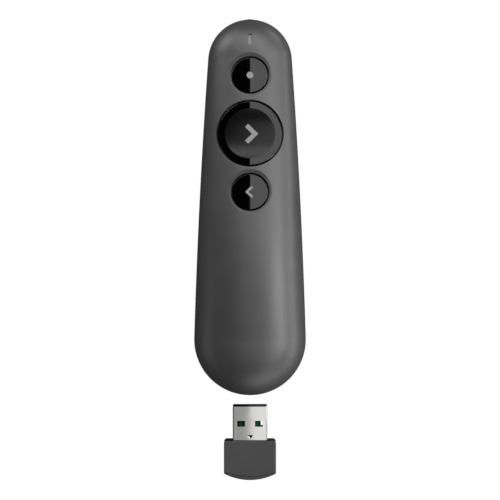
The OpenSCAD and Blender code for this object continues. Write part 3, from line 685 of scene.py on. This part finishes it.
ribs = packed_inside("top_shell", "upper_casing_ribs", "casing", upper_inside(0.9 * MM))
dress(ribs, FRAME_ABS)
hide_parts("top_shell")
print("upper casing", len(casing.data.vertices), "points, its ribs", len(ribs.data.vertices))

# %% [markdown]
# ## The LED window
#
# A light pipe is a little bar of clear plastic with a blasted face, pushed in from inside. It
# stops short of the slot's nose end and slants a little below the skin, so the slot shows a
# dark arc there. A loft of three rings gives it a soft edge.

# %% Build the LED window
PIPE_SHARE = 0.93        # how much of the slot's length the pipe fills


def led_window():
    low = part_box("led_window")[0].z
    plan = capsule_points(-0.02 * MM, 16)
    tail_end = LED_Y - LED_HALF[1]
    plan[:, 1] = tail_end + (plan[:, 1] - tail_end) * PIPE_SHARE
    skin = upper_height(np.zeros(len(plan)), plan[:, 1])
    rise = (plan[:, 1] - LED_Y) / LED_HALF[1]
    top = skin - (0.2 + 0.1 * rise) * MM
    inner = capsule_points(-0.06 * MM, 16)
    inner[:, 1] = tail_end + (inner[:, 1] - tail_end) * PIPE_SHARE
    rings = [level(plan, low), np.column_stack([plan, top - 0.07 * MM]), np.column_stack([inner, top])]
    piece = add_piece("led_light_pipe", *loft(rings), "casing", "led_window", sharp=50)
    dress(piece, LED_PIPE)
    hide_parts("led_window")
    return piece


print("led window", len(led_window().data.vertices), "points")

# %% [markdown]
# ## The lower casing and the battery door
#
# The belly is one bowl of black ABS with a flat land to lie on. The door is drawn from the same
# skin as the casing, so its face runs on into the casing's, and it has five grooves for the
# thumb. The casing stands a quarter of a millimetre proud of the painted one, which draws the
# thin dark line that shows all round the body. Screw seats and the receiver's dock are cut in.

# %% Build the lower casing and door
def belly_ring(stops, depth, degrees):
    """Points at one angle below the joint, on the belly's skin or a depth inside it."""
    feet, angles, radii = stops
    n = heel_n(np.sin(angles))
    q = math.radians(degrees)
    out = (radii - depth) * math.cos(q) ** (2 / n)
    drop = (PART_Z - belly_z(feet) - depth) * math.sin(q) ** (2 / n)
    return np.stack([out * np.cos(angles), feet + out * np.sin(angles), np.maximum(PART_Z - drop, depth)], 1)


def lower_skin(wall, steps=36):
    """A closed shell of the belly between two skins, which ends at the joint plane."""
    stops = stations(RIM_COUNT)
    feet = stops[0]
    sides = []
    for depth in (0.0, wall):
        rings = [belly_ring(stops, depth, 90 * k / steps) for k in range(steps)]
        rings.append(np.stack([feet * 0, feet, np.maximum(belly_z(feet) + depth, depth)], 1))
        sides.append(rings)
    outer, inner = sides
    points, faces = loft(outer[::-1] + inner, False)
    return points, [tuple(reversed(f)) for f in faces]


door_low, door_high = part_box("battery_door")
DOOR_HALF = (door_high.x - door_low.x) / 2
DOOR_FRONT = door_high.y
LOWER_SKIN = WALL * 0.95
DOOR_CUT_Z = 2.6 * MM    # how far up the belly's skin the door reaches
DOOR_GAP = 0.2 * MM
DOOR_T = 1.2 * MM
SLOT_GAP = 0.3 * MM
DOCK_L = 8 * MM          # how far the receiver's slot reaches into the tail
FAR = 60 * MM            # past the tail's end, for cuts that open it
SEAT_R = 2.0 * MM        # the screw seats under the nose: radius and places
SEAT_X, SEAT_Y = 8 * MM, NOSE_Y + 4.05 * MM
GROOVE = (13 * MM, 0.9 * MM, 0.3 * MM)             # the door's grip grooves: length, width, depth
GROOVE_COUNT, GROOVE_Y, GROOVE_STEP = 5, 14, 2.4   # the first one's place and their pitch, in mm
lower = add_piece("moulded_lower_casing", *lower_skin(LOWER_SKIN), "casing", "lower_casing", sharp=40)
modify(lower, "WELD", merge_threshold=1e-7)
receiver_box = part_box("receiver_housing")
slot_low = (receiver_box[0].x - SLOT_GAP, -FAR, receiver_box[0].z - SLOT_GAP)
slot_high = (receiver_box[1].x + SLOT_GAP, lower_box[0].y + DOCK_L, receiver_box[1].z + SLOT_GAP)
seat_points, seat_faces = turned([(SEAT_R, -1 * MM), (SEAT_R, 8.0 * MM)])
screw_seats = [(seat_points + np.array((x, SEAT_Y, 0)), seat_faces) for x in (-SEAT_X, SEAT_X)]
door_bay = box_solid((-DOOR_HALF - DOOR_GAP, -FAR, -1 * MM),
                     (DOOR_HALF + DOOR_GAP, DOOR_FRONT + DOOR_GAP, DOOR_CUT_Z))
cut(lower, [door_bay, box_solid(slot_low, slot_high)] + screw_seats, sharp=40)
dress(lower, LOWER)


def lower_inside(depth):
    """The volume inside the belly's skin, with room above it for the joint's lip."""
    stops = stations(INSIDE_COUNT)
    rings = [belly_ring(stops, depth, q) for q in range(88, -1, -8)]
    top = rings[-1].copy()
    top[:, 2] = PART_Z + 3 * MM
    return loft(rings + [top])


lower_ribs = packed_inside("bottom_shell", "lower_casing_ribs", "casing",
                           lower_inside(0.9 * MM))
dress(lower_ribs, LOWER)
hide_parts("bottom_shell")
print("lower casing ribs", len(lower_ribs.data.vertices), "points")

door = add_piece("sliding_battery_door", *lower_skin(DOOR_T), "door", "door", sharp=40)
modify(door, "WELD", merge_threshold=1e-7)
cut(door, [box_solid((-DOOR_HALF, -FAR, -1 * MM), (DOOR_HALF, DOOR_FRONT, DOOR_CUT_Z - 0.2 * MM))],
    operation="INTERSECT", sharp=40)


def groove(y, length, width, depth):
    """A round-ended grip groove across the underside of the door."""
    a = np.linspace(-math.pi / 2, math.pi / 2, 13)
    right = np.stack([(length - width) / 2 + width / 2 * np.cos(a), y + width / 2 * np.sin(a)], 1)
    plan = np.concatenate([right, np.stack([-right[::-1, 0], right[::-1, 1]], 1)])
    return loft([level(plan, z) for z in (-1 * MM, depth)])


grooves = [groove((GROOVE_Y + GROOVE_STEP * k) * MM, *GROOVE) for k in range(GROOVE_COUNT)]
cut(door, grooves + [box_solid(slot_low, slot_high)], sharp=40)
door_rails = packed_inside("battery_door", "battery_door_rails", "door", lower_inside(1.0 * MM))
dress(door_rails, LOWER)
dress(door, LOWER)
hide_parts("battery_door")
print("lower casing", len(lower.data.vertices), "door", len(door.data.vertices))

# %% [markdown]
# ## Buttons
#
# Each is a moulded cap with a soft edge, hollow below, with a stem that pushes a switch and two
# tabs that hold it in the casing. The small ones are flat, so each mirrors one even patch of
# the room. The large one follows the crown of the deck across the body and has a round finger
# dish with an eroded texture. Rings of points that follow the top's formula make both kinds.

# %% Build the buttons
BUTTON_GAP = 0.48 * MM
BUTTON_EDGE_R = 0.25 * MM
BUTTON_COUNT = 160       # points round a cap
CROWN_R = 25.9 * MM      # radius of the large cap's crown across the body
DISH_R = 8.5 * MM
DISH_DEPTH = 1.2 * MM
SMALL_SINK = 0.7 * MM    # how far the small caps lie below the deck


def big_top(x, y):
    """Height of the large button's top in its own frame."""
    r = np.hypot(x, y)
    crown = -(CROWN_R - np.sqrt(CROWN_R ** 2 - x ** 2))
    bowl_r = (DISH_R ** 2 + DISH_DEPTH ** 2) / (2 * DISH_DEPTH)
    bowl = (bowl_r - DISH_DEPTH) - np.sqrt(bowl_r ** 2 - np.minimum(r, DISH_R) ** 2)
    return crown + bowl


def small_top(x, y):
    """Height of a small button's flat top in its own frame."""
    return np.full_like(x, -SMALL_SINK)


def button(name, y, hole_r, top, body, radii, under, tab):
    """A cap whose rings follow a top surface, with a rounded edge and a skirt round a stem below it."""
    r = hole_r - BUTTON_GAP
    skirt_z, hollow_z, wall, stem_r = under
    rings = [level(circle(radius, BUTTON_COUNT), z)
             for radius, z in ((stem_r, STEM_Z), (stem_r, hollow_z), (r - wall, hollow_z),
                               (r - wall, skirt_z), (r, skirt_z))]
    edge = [(r - BUTTON_EDGE_R * (1 - math.cos(q)), BUTTON_EDGE_R * (1 - math.sin(q)))
            for q in np.radians(range(0, 91, 15))]
    for radius, fall in edge + [(radius, 0) for radius in radii]:
        plan = circle(radius, BUTTON_COUNT)
        rings.append(np.column_stack([plan, top(plan[:, 0], plan[:, 1]) - fall]))
    points, faces = loft(rings)
    cap = add_piece(name, on_deck(points, y), faces, body, "button_gloss", sharp=30)
    tab_w, tab_y, tab_l = tab
    for side in (-1, 1):
        low = (-tab_w / 2, side * tab_y - tab_l / 2, TAB_Z[0])
        points, faces = box_solid(low, (tab_w / 2, side * tab_y + tab_l / 2, TAB_Z[1]))
        cut(cap, [(on_deck(points, y), faces)], operation="UNION", sharp=30)
    return cap


# Under each cap: skirt height, hollow height, skirt wall and stem radius
# Each cap's two tabs: width, distance from the middle, and length
STEM_Z = -3.6 * MM
TAB_Z = (-3.4 * MM, -2.5 * MM)
SMALL_UNDER = (-3.4 * MM, -2.0 * MM, 1.0 * MM, 1.7 * MM)
SMALL_TAB = (4.0 * MM, 6.45 * MM, 1.6 * MM)
BIG_UNDER = (-4.2 * MM, -2.9 * MM, 1.3 * MM, 2.1 * MM)
BIG_TAB = (6.0 * MM, 11.3 * MM, 1.8 * MM)
flat_radii = [k * 0.7 * MM for k in range(8, 0, -1)]
laser_cap = button("laser_button_cap", LASER_Y, SMALL_HOLE_R, small_top, "laser_key", flat_radii,
                   SMALL_UNDER, SMALL_TAB)
back_cap = button("back_button_cap", BACK_Y, SMALL_HOLE_R, small_top, "back_key", flat_radii,
                  SMALL_UNDER, SMALL_TAB)
big_radii = [10.2 * MM, 9.6 * MM, 9.0 * MM, 8.65 * MM, 8.5 * MM, 8.35 * MM]
big_radii += [k * 0.5 * MM for k in range(16, 0, -1)]
next_cap = button("next_button_cap", NEXT_Y, BIG_HOLE_R, big_top, "next_key", big_radii,
                  BIG_UNDER, BIG_TAB)
for cap, node in ((laser_cap, "laser_button"), (back_cap, "back_button"), (next_cap, "next_button")):
    dress(cap, GLOSS)
    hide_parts(node)
dress(next_cap, GLOSS, DISH)
for polygon in next_cap.data.polygons:
    c = polygon.center
    if polygon.normal.z > 0.5 and deck_distance(c.x, c.y, NEXT_Y) < DISH_R:
        polygon.material_index = 1
print("buttons", [len(c.data.vertices) for c in (laser_cap, next_cap, back_cap)])

# %% [markdown]
# ## Printed signs
#
# A silicone pad picks ink up from an etched plate and presses it on the cap, so each sign is a
# thin even film that follows the surface below: a dot for the laser, and two chevrons with a
# sharp point and ends cut square. Each outline is filled with small triangles and lifted.

# %% Print the signs
INK_LIFT = 0.02 * MM     # real ink is about 0.01 mm; this keeps it clear of the cap
EDGE_STEP = 0.4 * MM
FILL_STEP = 0.35 * MM


def flat_sign(name, outline, y, top, body):
    """Ink with a real thickness, laid over a button's top surface."""
    loop = np.asarray(outline, float)
    fine = []
    for a, b in zip(loop, np.roll(loop, -1, 0)):
        steps = max(1, int(np.linalg.norm(b - a) / EDGE_STEP))
        fine += [a + (b - a) * k / steps for k in range(steps)]
    fine = np.array(fine)
    low, high = loop.min(0), loop.max(0)
    inner = [(gx, gy) for gx in np.arange(low[0], high[0], FILL_STEP)
             for gy in np.arange(low[1], high[1], FILL_STEP)]
    plan = np.concatenate([fine, inner])
    edges = [(i, (i + 1) % len(fine)) for i in range(len(fine))]
    result = delaunay_2d_cdt([Vector(p / MM) for p in plan], edges, [], 1, 1e-4)
    flat = np.array([tuple(v) for v in result[0]]) * MM
    height = top(flat[:, 0], flat[:, 1])
    count = len(flat)
    points = np.concatenate([np.column_stack([flat, height + lift]) for lift in (INK_LIFT, -INK_LIFT)])
    faces = [tuple(f) for f in result[2]]
    walls = [(b, a, a + count, b + count) for a, b in open_edges(faces)]
    faces += [tuple(i + count for i in reversed(f)) for f in result[2]] + walls
    sign = add_piece(name, on_deck(points, y), faces, body, "button_gloss")
    dress(sign, INK)


def chevron(tip_x, d, half_h, stroke):
    """A chevron that points along x by d, with a 45 degree point and ends cut square to its arms."""
    s = stroke / math.sqrt(2)
    return [(tip_x, 0), (tip_x - d * half_h, half_h), (tip_x - d * (half_h + s), half_h - s),
            (tip_x - d * 2 * s, 0), (tip_x - d * (half_h + s), -half_h + s), (tip_x - d * half_h, -half_h)]


DOT_R = 1.15 * MM
flat_sign("laser_dot", circle(DOT_R, 48), LASER_Y, small_top, "laser_key")
flat_sign("next_chevron", chevron(2.78 * MM, 1, 3.4 * MM, 1.5 * MM), NEXT_Y, big_top, "next_key")
flat_sign("back_chevron", chevron(-1.62 * MM, -1, 2.05 * MM, 0.88 * MM), BACK_Y, small_top, "back_key")
print("signs printed")

# %% [markdown]
# ## The receiver
#
# The receiver is a USB plug with a radio behind it. Its plastic housing is a flat block whose
# tail is struck to the clicker's own tail radius, so it lies flush when stowed. The top falls
# away behind a moulded crease, which the finger finds. Lofted rings give the soft edges, and
# weighted normals keep the flat faces flat in the light.

# %% Build the receiver's housing
CREASE_R = 27.7 * MM     # the crease's radius in plan, and how far in it lies on the middle line
CREASE_IN = 1.28 * MM
FALL = 0.22              # slope of the top behind the crease
HOUSING_EDGE = 0.45 * MM


def crease_y(x):
    """The line across the housing where its top starts to fall towards the tail."""
    return receiver_box[0].y + CREASE_IN + x ** 2 / (2 * CREASE_R)


def top_fall(plan):
    """How far the housing's top has fallen at points in plan."""
    return FALL * np.maximum(0, crease_y(plan[:, 0]) - plan[:, 1])


def housing_plan(side_in, corner=0.7 * MM, front_corner=1.0 * MM):
    """Outline with a straight front, straight sides and a tail on the clicker's radius."""
    low, high = receiver_box
    half, front, radius = high.x - side_in, high.y - side_in, TAIL_R - side_in
    middle_y = low.y + TAIL_R
    corner_x = half - corner
    corner_y = middle_y - math.sqrt((radius - corner) ** 2 - corner_x ** 2)
    end = math.atan2(corner_y - middle_y, corner_x)
    right = [(radius * math.sin(a), middle_y - radius * math.cos(a))
             for a in np.linspace(0, end + math.pi / 2, 17)]
    right += [(corner_x + corner * math.cos(a), corner_y + corner * math.sin(a))
              for a in np.linspace(end, 0, 9)[1:]]
    right += [(half - front_corner * (1 - math.cos(a)), front - front_corner * (1 - math.sin(a)))
              for a in np.linspace(0, math.pi / 2, 9)]
    right = np.array(right)
    left = right[:0:-1] * (-1, 1)
    return np.concatenate([right, left])


def receiver_shape():
    """The housing as rings from its underside, over its side, to the crease on its top."""
    low, high = receiver_box
    rings = []
    for z, up in ((low.z, 1), (high.z, -1)):
        for a in np.linspace(0, math.pi / 2, 6)[::up]:
            plan = housing_plan(HOUSING_EDGE * (1 - math.sin(a)))
            fall = top_fall(plan) * (up < 0)
            rings.append(np.column_stack([plan, z + up * (fall + HOUSING_EDGE * (1 - math.cos(a)))]))
    # The crease: a groove three rings wide along the line
    for inset, past, depth in ((0.5, -0.26, 0), (0.53, 0.0, 0.3), (0.56, 0.26, 0)):
        plan = housing_plan(inset * MM)
        line = crease_y(plan[:, 0]) + past * MM
        plan[:, 1] = np.maximum(plan[:, 1], line)
        fall = top_fall(plan) + depth * MM * (plan[:, 1] <= line)
        rings.append(np.column_stack([plan, high.z - fall]))
    return loft(rings)


housing = add_piece("receiver_cap", *receiver_shape(), "receiver", "receiver_plastic", sharp=20)
modify(housing, "WEIGHTED_NORMAL", keep_sharp=True, weight=100)
dress(housing, RECEIVER, LOWER)
# The front face round the plug takes the black plastic: a painted shade for the shade that this face lies in
for face in housing.data.polygons:
    if face.normal.y > 0.8:
        face.material_index = 1
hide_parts("receiver_housing")
print("receiver housing", len(housing.data.vertices))

# %% [markdown]
# ## The receiver's plug
#
# The plug is a strip of steel folded into a flat tube, then plated. Its front lip is rolled in,
# two square windows let the socket's springs catch, and a small pressed mark lies between them.
# The tube is a loft out along the outside and back along the inside. Windows and mark are cut.
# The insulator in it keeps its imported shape, but stops short of the tube's right side, so the
# tube's bright floor shows through that window.

# %% Build the receiver's plug
plug_low, plug_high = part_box("receiver_plug")
SHEET_T = 0.3 * MM
LIP = 0.18 * MM          # how far the front lip is rolled in
FOLD_R = (0.4 * MM, 0.15 * MM)


def plug_shape():
    """The folded tube with its rolled lip, as points and faces."""
    middle_z = (plug_low.z + plug_high.z) / 2
    half_w, half_t = (plug_high.x - plug_low.x) / 2, (plug_high.z - plug_low.z) / 2
    back, front = receiver_box[1].y - 0.5 * MM, plug_high.y
    outside = [(back, 0), (front - 0.5 * MM, 0), (front - 0.12 * MM, -LIP * 0.35), (front, -LIP)]
    inside = [(front, -LIP), (front - 0.5 * MM, 0), (back, 0)]
    rings = []
    for stops, sheet, fold in ((outside, 0, FOLD_R[0]), (inside, SHEET_T, FOLD_R[1])):
        for y, grow in stops:
            plan = rounded_outline(half_w + grow - sheet, half_t + grow - sheet, fold)
            rings.append(np.column_stack([plan[:, 0], np.full(len(plan), y), middle_z + plan[:, 1]]))
    count = len(rings[0])
    points, faces = loft(rings + [rings[0]], False)
    points = points[:-count]
    faces = [tuple(i % (count * len(rings)) for i in f) for f in faces]
    return points, [tuple(reversed(f)) for f in faces]


plug = add_piece("plug_shell", *plug_shape(), "receiver", "plug_steel", sharp=35)
WINDOW = (2.7 * MM, 2.05 * MM)
WINDOW_X = 3.08 * MM
WINDOW_Y = receiver_box[1].y + 5.76 * MM
MARK_Y = receiver_box[1].y + 1.1 * MM
TONGUE_END_X = 3.7 * MM
windows = []
for x in (-WINDOW_X, WINDOW_X):
    plan = rounded_outline(WINDOW[0] / 2, WINDOW[1] / 2, 0.12 * MM, 4) + np.array((x, WINDOW_Y))
    windows.append(loft([level(plan, z) for z in (-1 * MM, 12 * MM)]))
# The pressed mark is a triangle that narrows to a point below the sheet's face
mark_rings = []
for size, z in ((0.02, -0.24), (1.0, 0.0), (3.0, 0.48)):
    mark = np.array([(-1.1, 0.7), (0, -0.85), (1.1, 0.7)]) * size * MM + np.array((0, MARK_Y))
    mark_rings.append(level(mark, plug_high.z + z * MM))
cut(plug, windows + [loft(mark_rings)], sharp=14)
modify(plug, "WEIGHTED_NORMAL", keep_sharp=True, weight=100)
dress(plug, NICKEL)
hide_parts("receiver_plug")
print("plug", len(plug.data.vertices))

tongue_low, tongue_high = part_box("receiver_tongue")
room = box_solid(tongue_low - Vector((MM, MM, MM)), (TONGUE_END_X, tongue_high.y + MM, tongue_high.z + MM))
tongue = packed_inside("receiver_tongue", "insulator_tongue", "receiver", room)
dress(tongue, INSULATOR)
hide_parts("receiver_tongue")

# %% [markdown]
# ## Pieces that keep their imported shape
#
# The inner pieces are already true to size and have no moulded face that shows, so they only
# take a finish. Real ones are bought in: cells, switches, springs, screws and a stuffed board.

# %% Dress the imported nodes
FINISHES = (
    # The receiver's board takes the brightened green, which paints in light it lacks inside the plug
    (FRAME_ABS, "mid_frame"), (BOARD, "main_board"), (BOARD_WITH_PAINTED_LIGHT, "receiver_board"),
    (GLOSS, "nose_window"), (SCREW, "case_screws"), (SLEEVE, "battery_left battery_right"),
    (INSULATOR, "laser_plunger next_plunger back_plunger board_chips"),
    (NICKEL, "laser_switch next_switch back_switch battery_springs battery_contacts"),
    (LED_PIPE, "status_led laser_lens"), (GOLD, "led_flex laser_barrel laser_leads receiver_contacts"),
)
for material, names in FINISHES:
    for node in names.split():
        dress(NODES[node], material)
print("dressed", sum(len(names.split()) for _, names in FINISHES), "nodes")

# %% [markdown]
# ## Studio
#
# The clicker lies on a white sweep in a dark room. A softbox hangs over its right side and stops
# exactly above the middle line, so flat glossy faces mirror black on their left half and grey
# on their right half. Brighter softboxes further right lay one broad band of light on the
# paint. One beyond the nose fills the finger dish from below, and two strips over the plug give
# its two halves their tones. Low cards and two small lamps lift the body's edges. To the
# camera, the sweep and the room are plain white, so no light has to be spent on them.

# %% Floor, world and lights
scene = bpy.context.scene
scene.view_settings.view_transform = "Standard"
FLOOR_HALF = 3.0
FLOOR_Z = -0.2 * MM      # just below the belly, so the two faces don't flicker


def white_to_camera(tree, other, white, output):
    """Shows a white shader to the camera, and another one to every other ray."""
    path = add_node(tree, "ShaderNodeLightPath")
    mix = add_node(tree, "ShaderNodeMixShader",
                   {0: path.outputs["Is Camera Ray"], 1: other.outputs[0], 2: white.outputs[0]})
    add_node(tree, output, {"Surface": mix.outputs[0]})


def floor():
    """A flat sweep that is white to the camera and dim to everything else."""
    corners = [(x * FLOOR_HALF, y * FLOOR_HALF, FLOOR_Z) for x, y in ((-1, -1), (1, -1), (1, 1), (-1, 1))]
    mesh = new_mesh("white_sweep", corners, [(0, 1, 2, 3)])
    piece = bpy.data.objects.new("white_sweep", mesh)
    scene.collection.objects.link(piece)
    material = bpy.data.materials.new("white_paper_sweep")
    material.use_nodes = True
    tree = material.node_tree
    tree.nodes.clear()
    paper = add_node(tree, "ShaderNodeBsdfDiffuse", Color=(0.15, 0.15, 0.15, 1))
    glow = add_node(tree, "ShaderNodeEmission", Color=(1, 1, 1, 1), Strength=1.0)
    white_to_camera(tree, paper, glow, "ShaderNodeOutputMaterial")
    mesh.materials.append(material)


def world():
    """A room that is white to the camera and nearly dark, a little lighter low down, to the rest."""
    shell = bpy.data.worlds.new("dark_studio")
    scene.world = shell
    shell.use_nodes = True
    tree = shell.node_tree
    tree.nodes.clear()
    place = add_node(tree, "ShaderNodeTexCoord")
    split = add_node(tree, "ShaderNodeSeparateXYZ", {0: place.outputs["Generated"]})
    ramp = add_node(tree, "ShaderNodeMapRange", {"Value": split.outputs["Z"]},
                    **{"From Min": 0.0, "From Max": 0.6, "To Min": 0.03, "To Max": 0.0})
    dim = add_node(tree, "ShaderNodeBackground", {"Strength": ramp.outputs["Result"]}, Color=(1, 1, 1, 1))
    white = add_node(tree, "ShaderNodeBackground", Color=(1, 1, 1, 1), Strength=1.0)
    white_to_camera(tree, dim, white, "ShaderNodeOutputWorld")


def area_light(name, place, target, size, radiance):
    """A soft panel of one even brightness that faces its target. Its size is across and along."""
    place, target = Vector(place), Vector(target)
    back = (place - target).normalized()
    up = Vector((0, 1, 0)) if abs(back.z) > 0.9 else Vector((0, 0, 1))
    along = (up - up.dot(back) * back).normalized()
    data = bpy.data.lights.new(name, "AREA")
    data.shape = "RECTANGLE"
    data.size, data.size_y = size
    data.energy = radiance * math.pi * size[0] * size[1]
    lamp = bpy.data.objects.new(name, data)
    scene.collection.objects.link(lamp)
    lamp.matrix_world = Matrix.LocRotScale(place, Matrix((along.cross(back), along, back)).transposed(), None)


def overhead(name, x, y, radiance, height=0.6):
    """A panel that hangs level and faces down, from its edges in plan."""
    place = ((x[0] + x[1]) / 2, (y[0] + y[1]) / 2, height)
    area_light(name, place, (place[0], place[1], 0), (x[1] - x[0], y[1] - y[0]), radiance)


def card(name, place, across, height, radiance):
    """An upright panel that faces the middle line or the middle of the set."""
    x, y = place
    target = (0, y, height / 2) if abs(x) > abs(y) else (x, 0, height / 2)
    area_light(name, (x, y, height / 2), target, (across, height), radiance)


floor()
world()
overhead("key_softbox_edge", (0.45, 0.6), (-0.15, 0.06), 5.4)
overhead("key_softbox", (0.58, 0.8), (-0.17, 0.06), 13.0)
overhead("button_softbox", (0.0002, 1.15), (0.06, 0.42), 1.76)
overhead("tail_softbox", (0.3, 0.6), (-0.5, -0.15), 1.9)
overhead("receiver_strip", (0, 0.06), (-0.21, -0.07), 1.41)
overhead("receiver_fill_strip", (-0.06, 0), (-0.21, -0.07), 0.57)
overhead("front_softbox", (-0.25, 0.3), (0.43, 0.66), 3.9)
card("right_card", (1.2, 0.225), 0.45, 0.15, 7.1)
card("right_tail_card", (1.2, -0.45), 0.9, 0.15, 7.0)
card("right_front_card", (0.825, 0.93), 0.45, 0.3, 5.2)
card("tail_card", (0.525, -0.93), 1.05, 0.6, 1.3)
card("left_card", (-1.2, -0.45), 0.9, 0.3, 1.0)
area_light("nose_lamp", (-0.25, 0.31, 0.19), (0, 0.06, 0.015), (0.18, 0.18), 3.4)
area_light("nose_side_lamp", (-0.3, 0.24, 0.08), (0, 0.06, 0.015), (0.1, 0.1), 2.4)

# %% [markdown]
# ## Camera
#
# It looks straight down from 45 cm, as a product table's camera does. The lens is set from the
# width that the frame covers at the height of the joint, so the object's size comes out right.

# %% Camera
CAMERA_H = 0.450
CAMERA_Y = 0.00023
FRAME_W = 171.95 * MM
SENSOR_MM = 36
camera_data = bpy.data.cameras.new("camera")
camera_data.sensor_width = SENSOR_MM
camera_data.sensor_height = SENSOR_MM
camera_data.sensor_fit = "HORIZONTAL"
camera_data.lens = SENSOR_MM * (CAMERA_H - PART_Z) / FRAME_W
camera_data.clip_start = 0.01
camera = bpy.data.objects.new("camera", camera_data)
camera.location = (0, CAMERA_Y, CAMERA_H)
scene.collection.objects.link(camera)
scene.camera = camera
print("lens", round(camera_data.lens, 1), "mm")
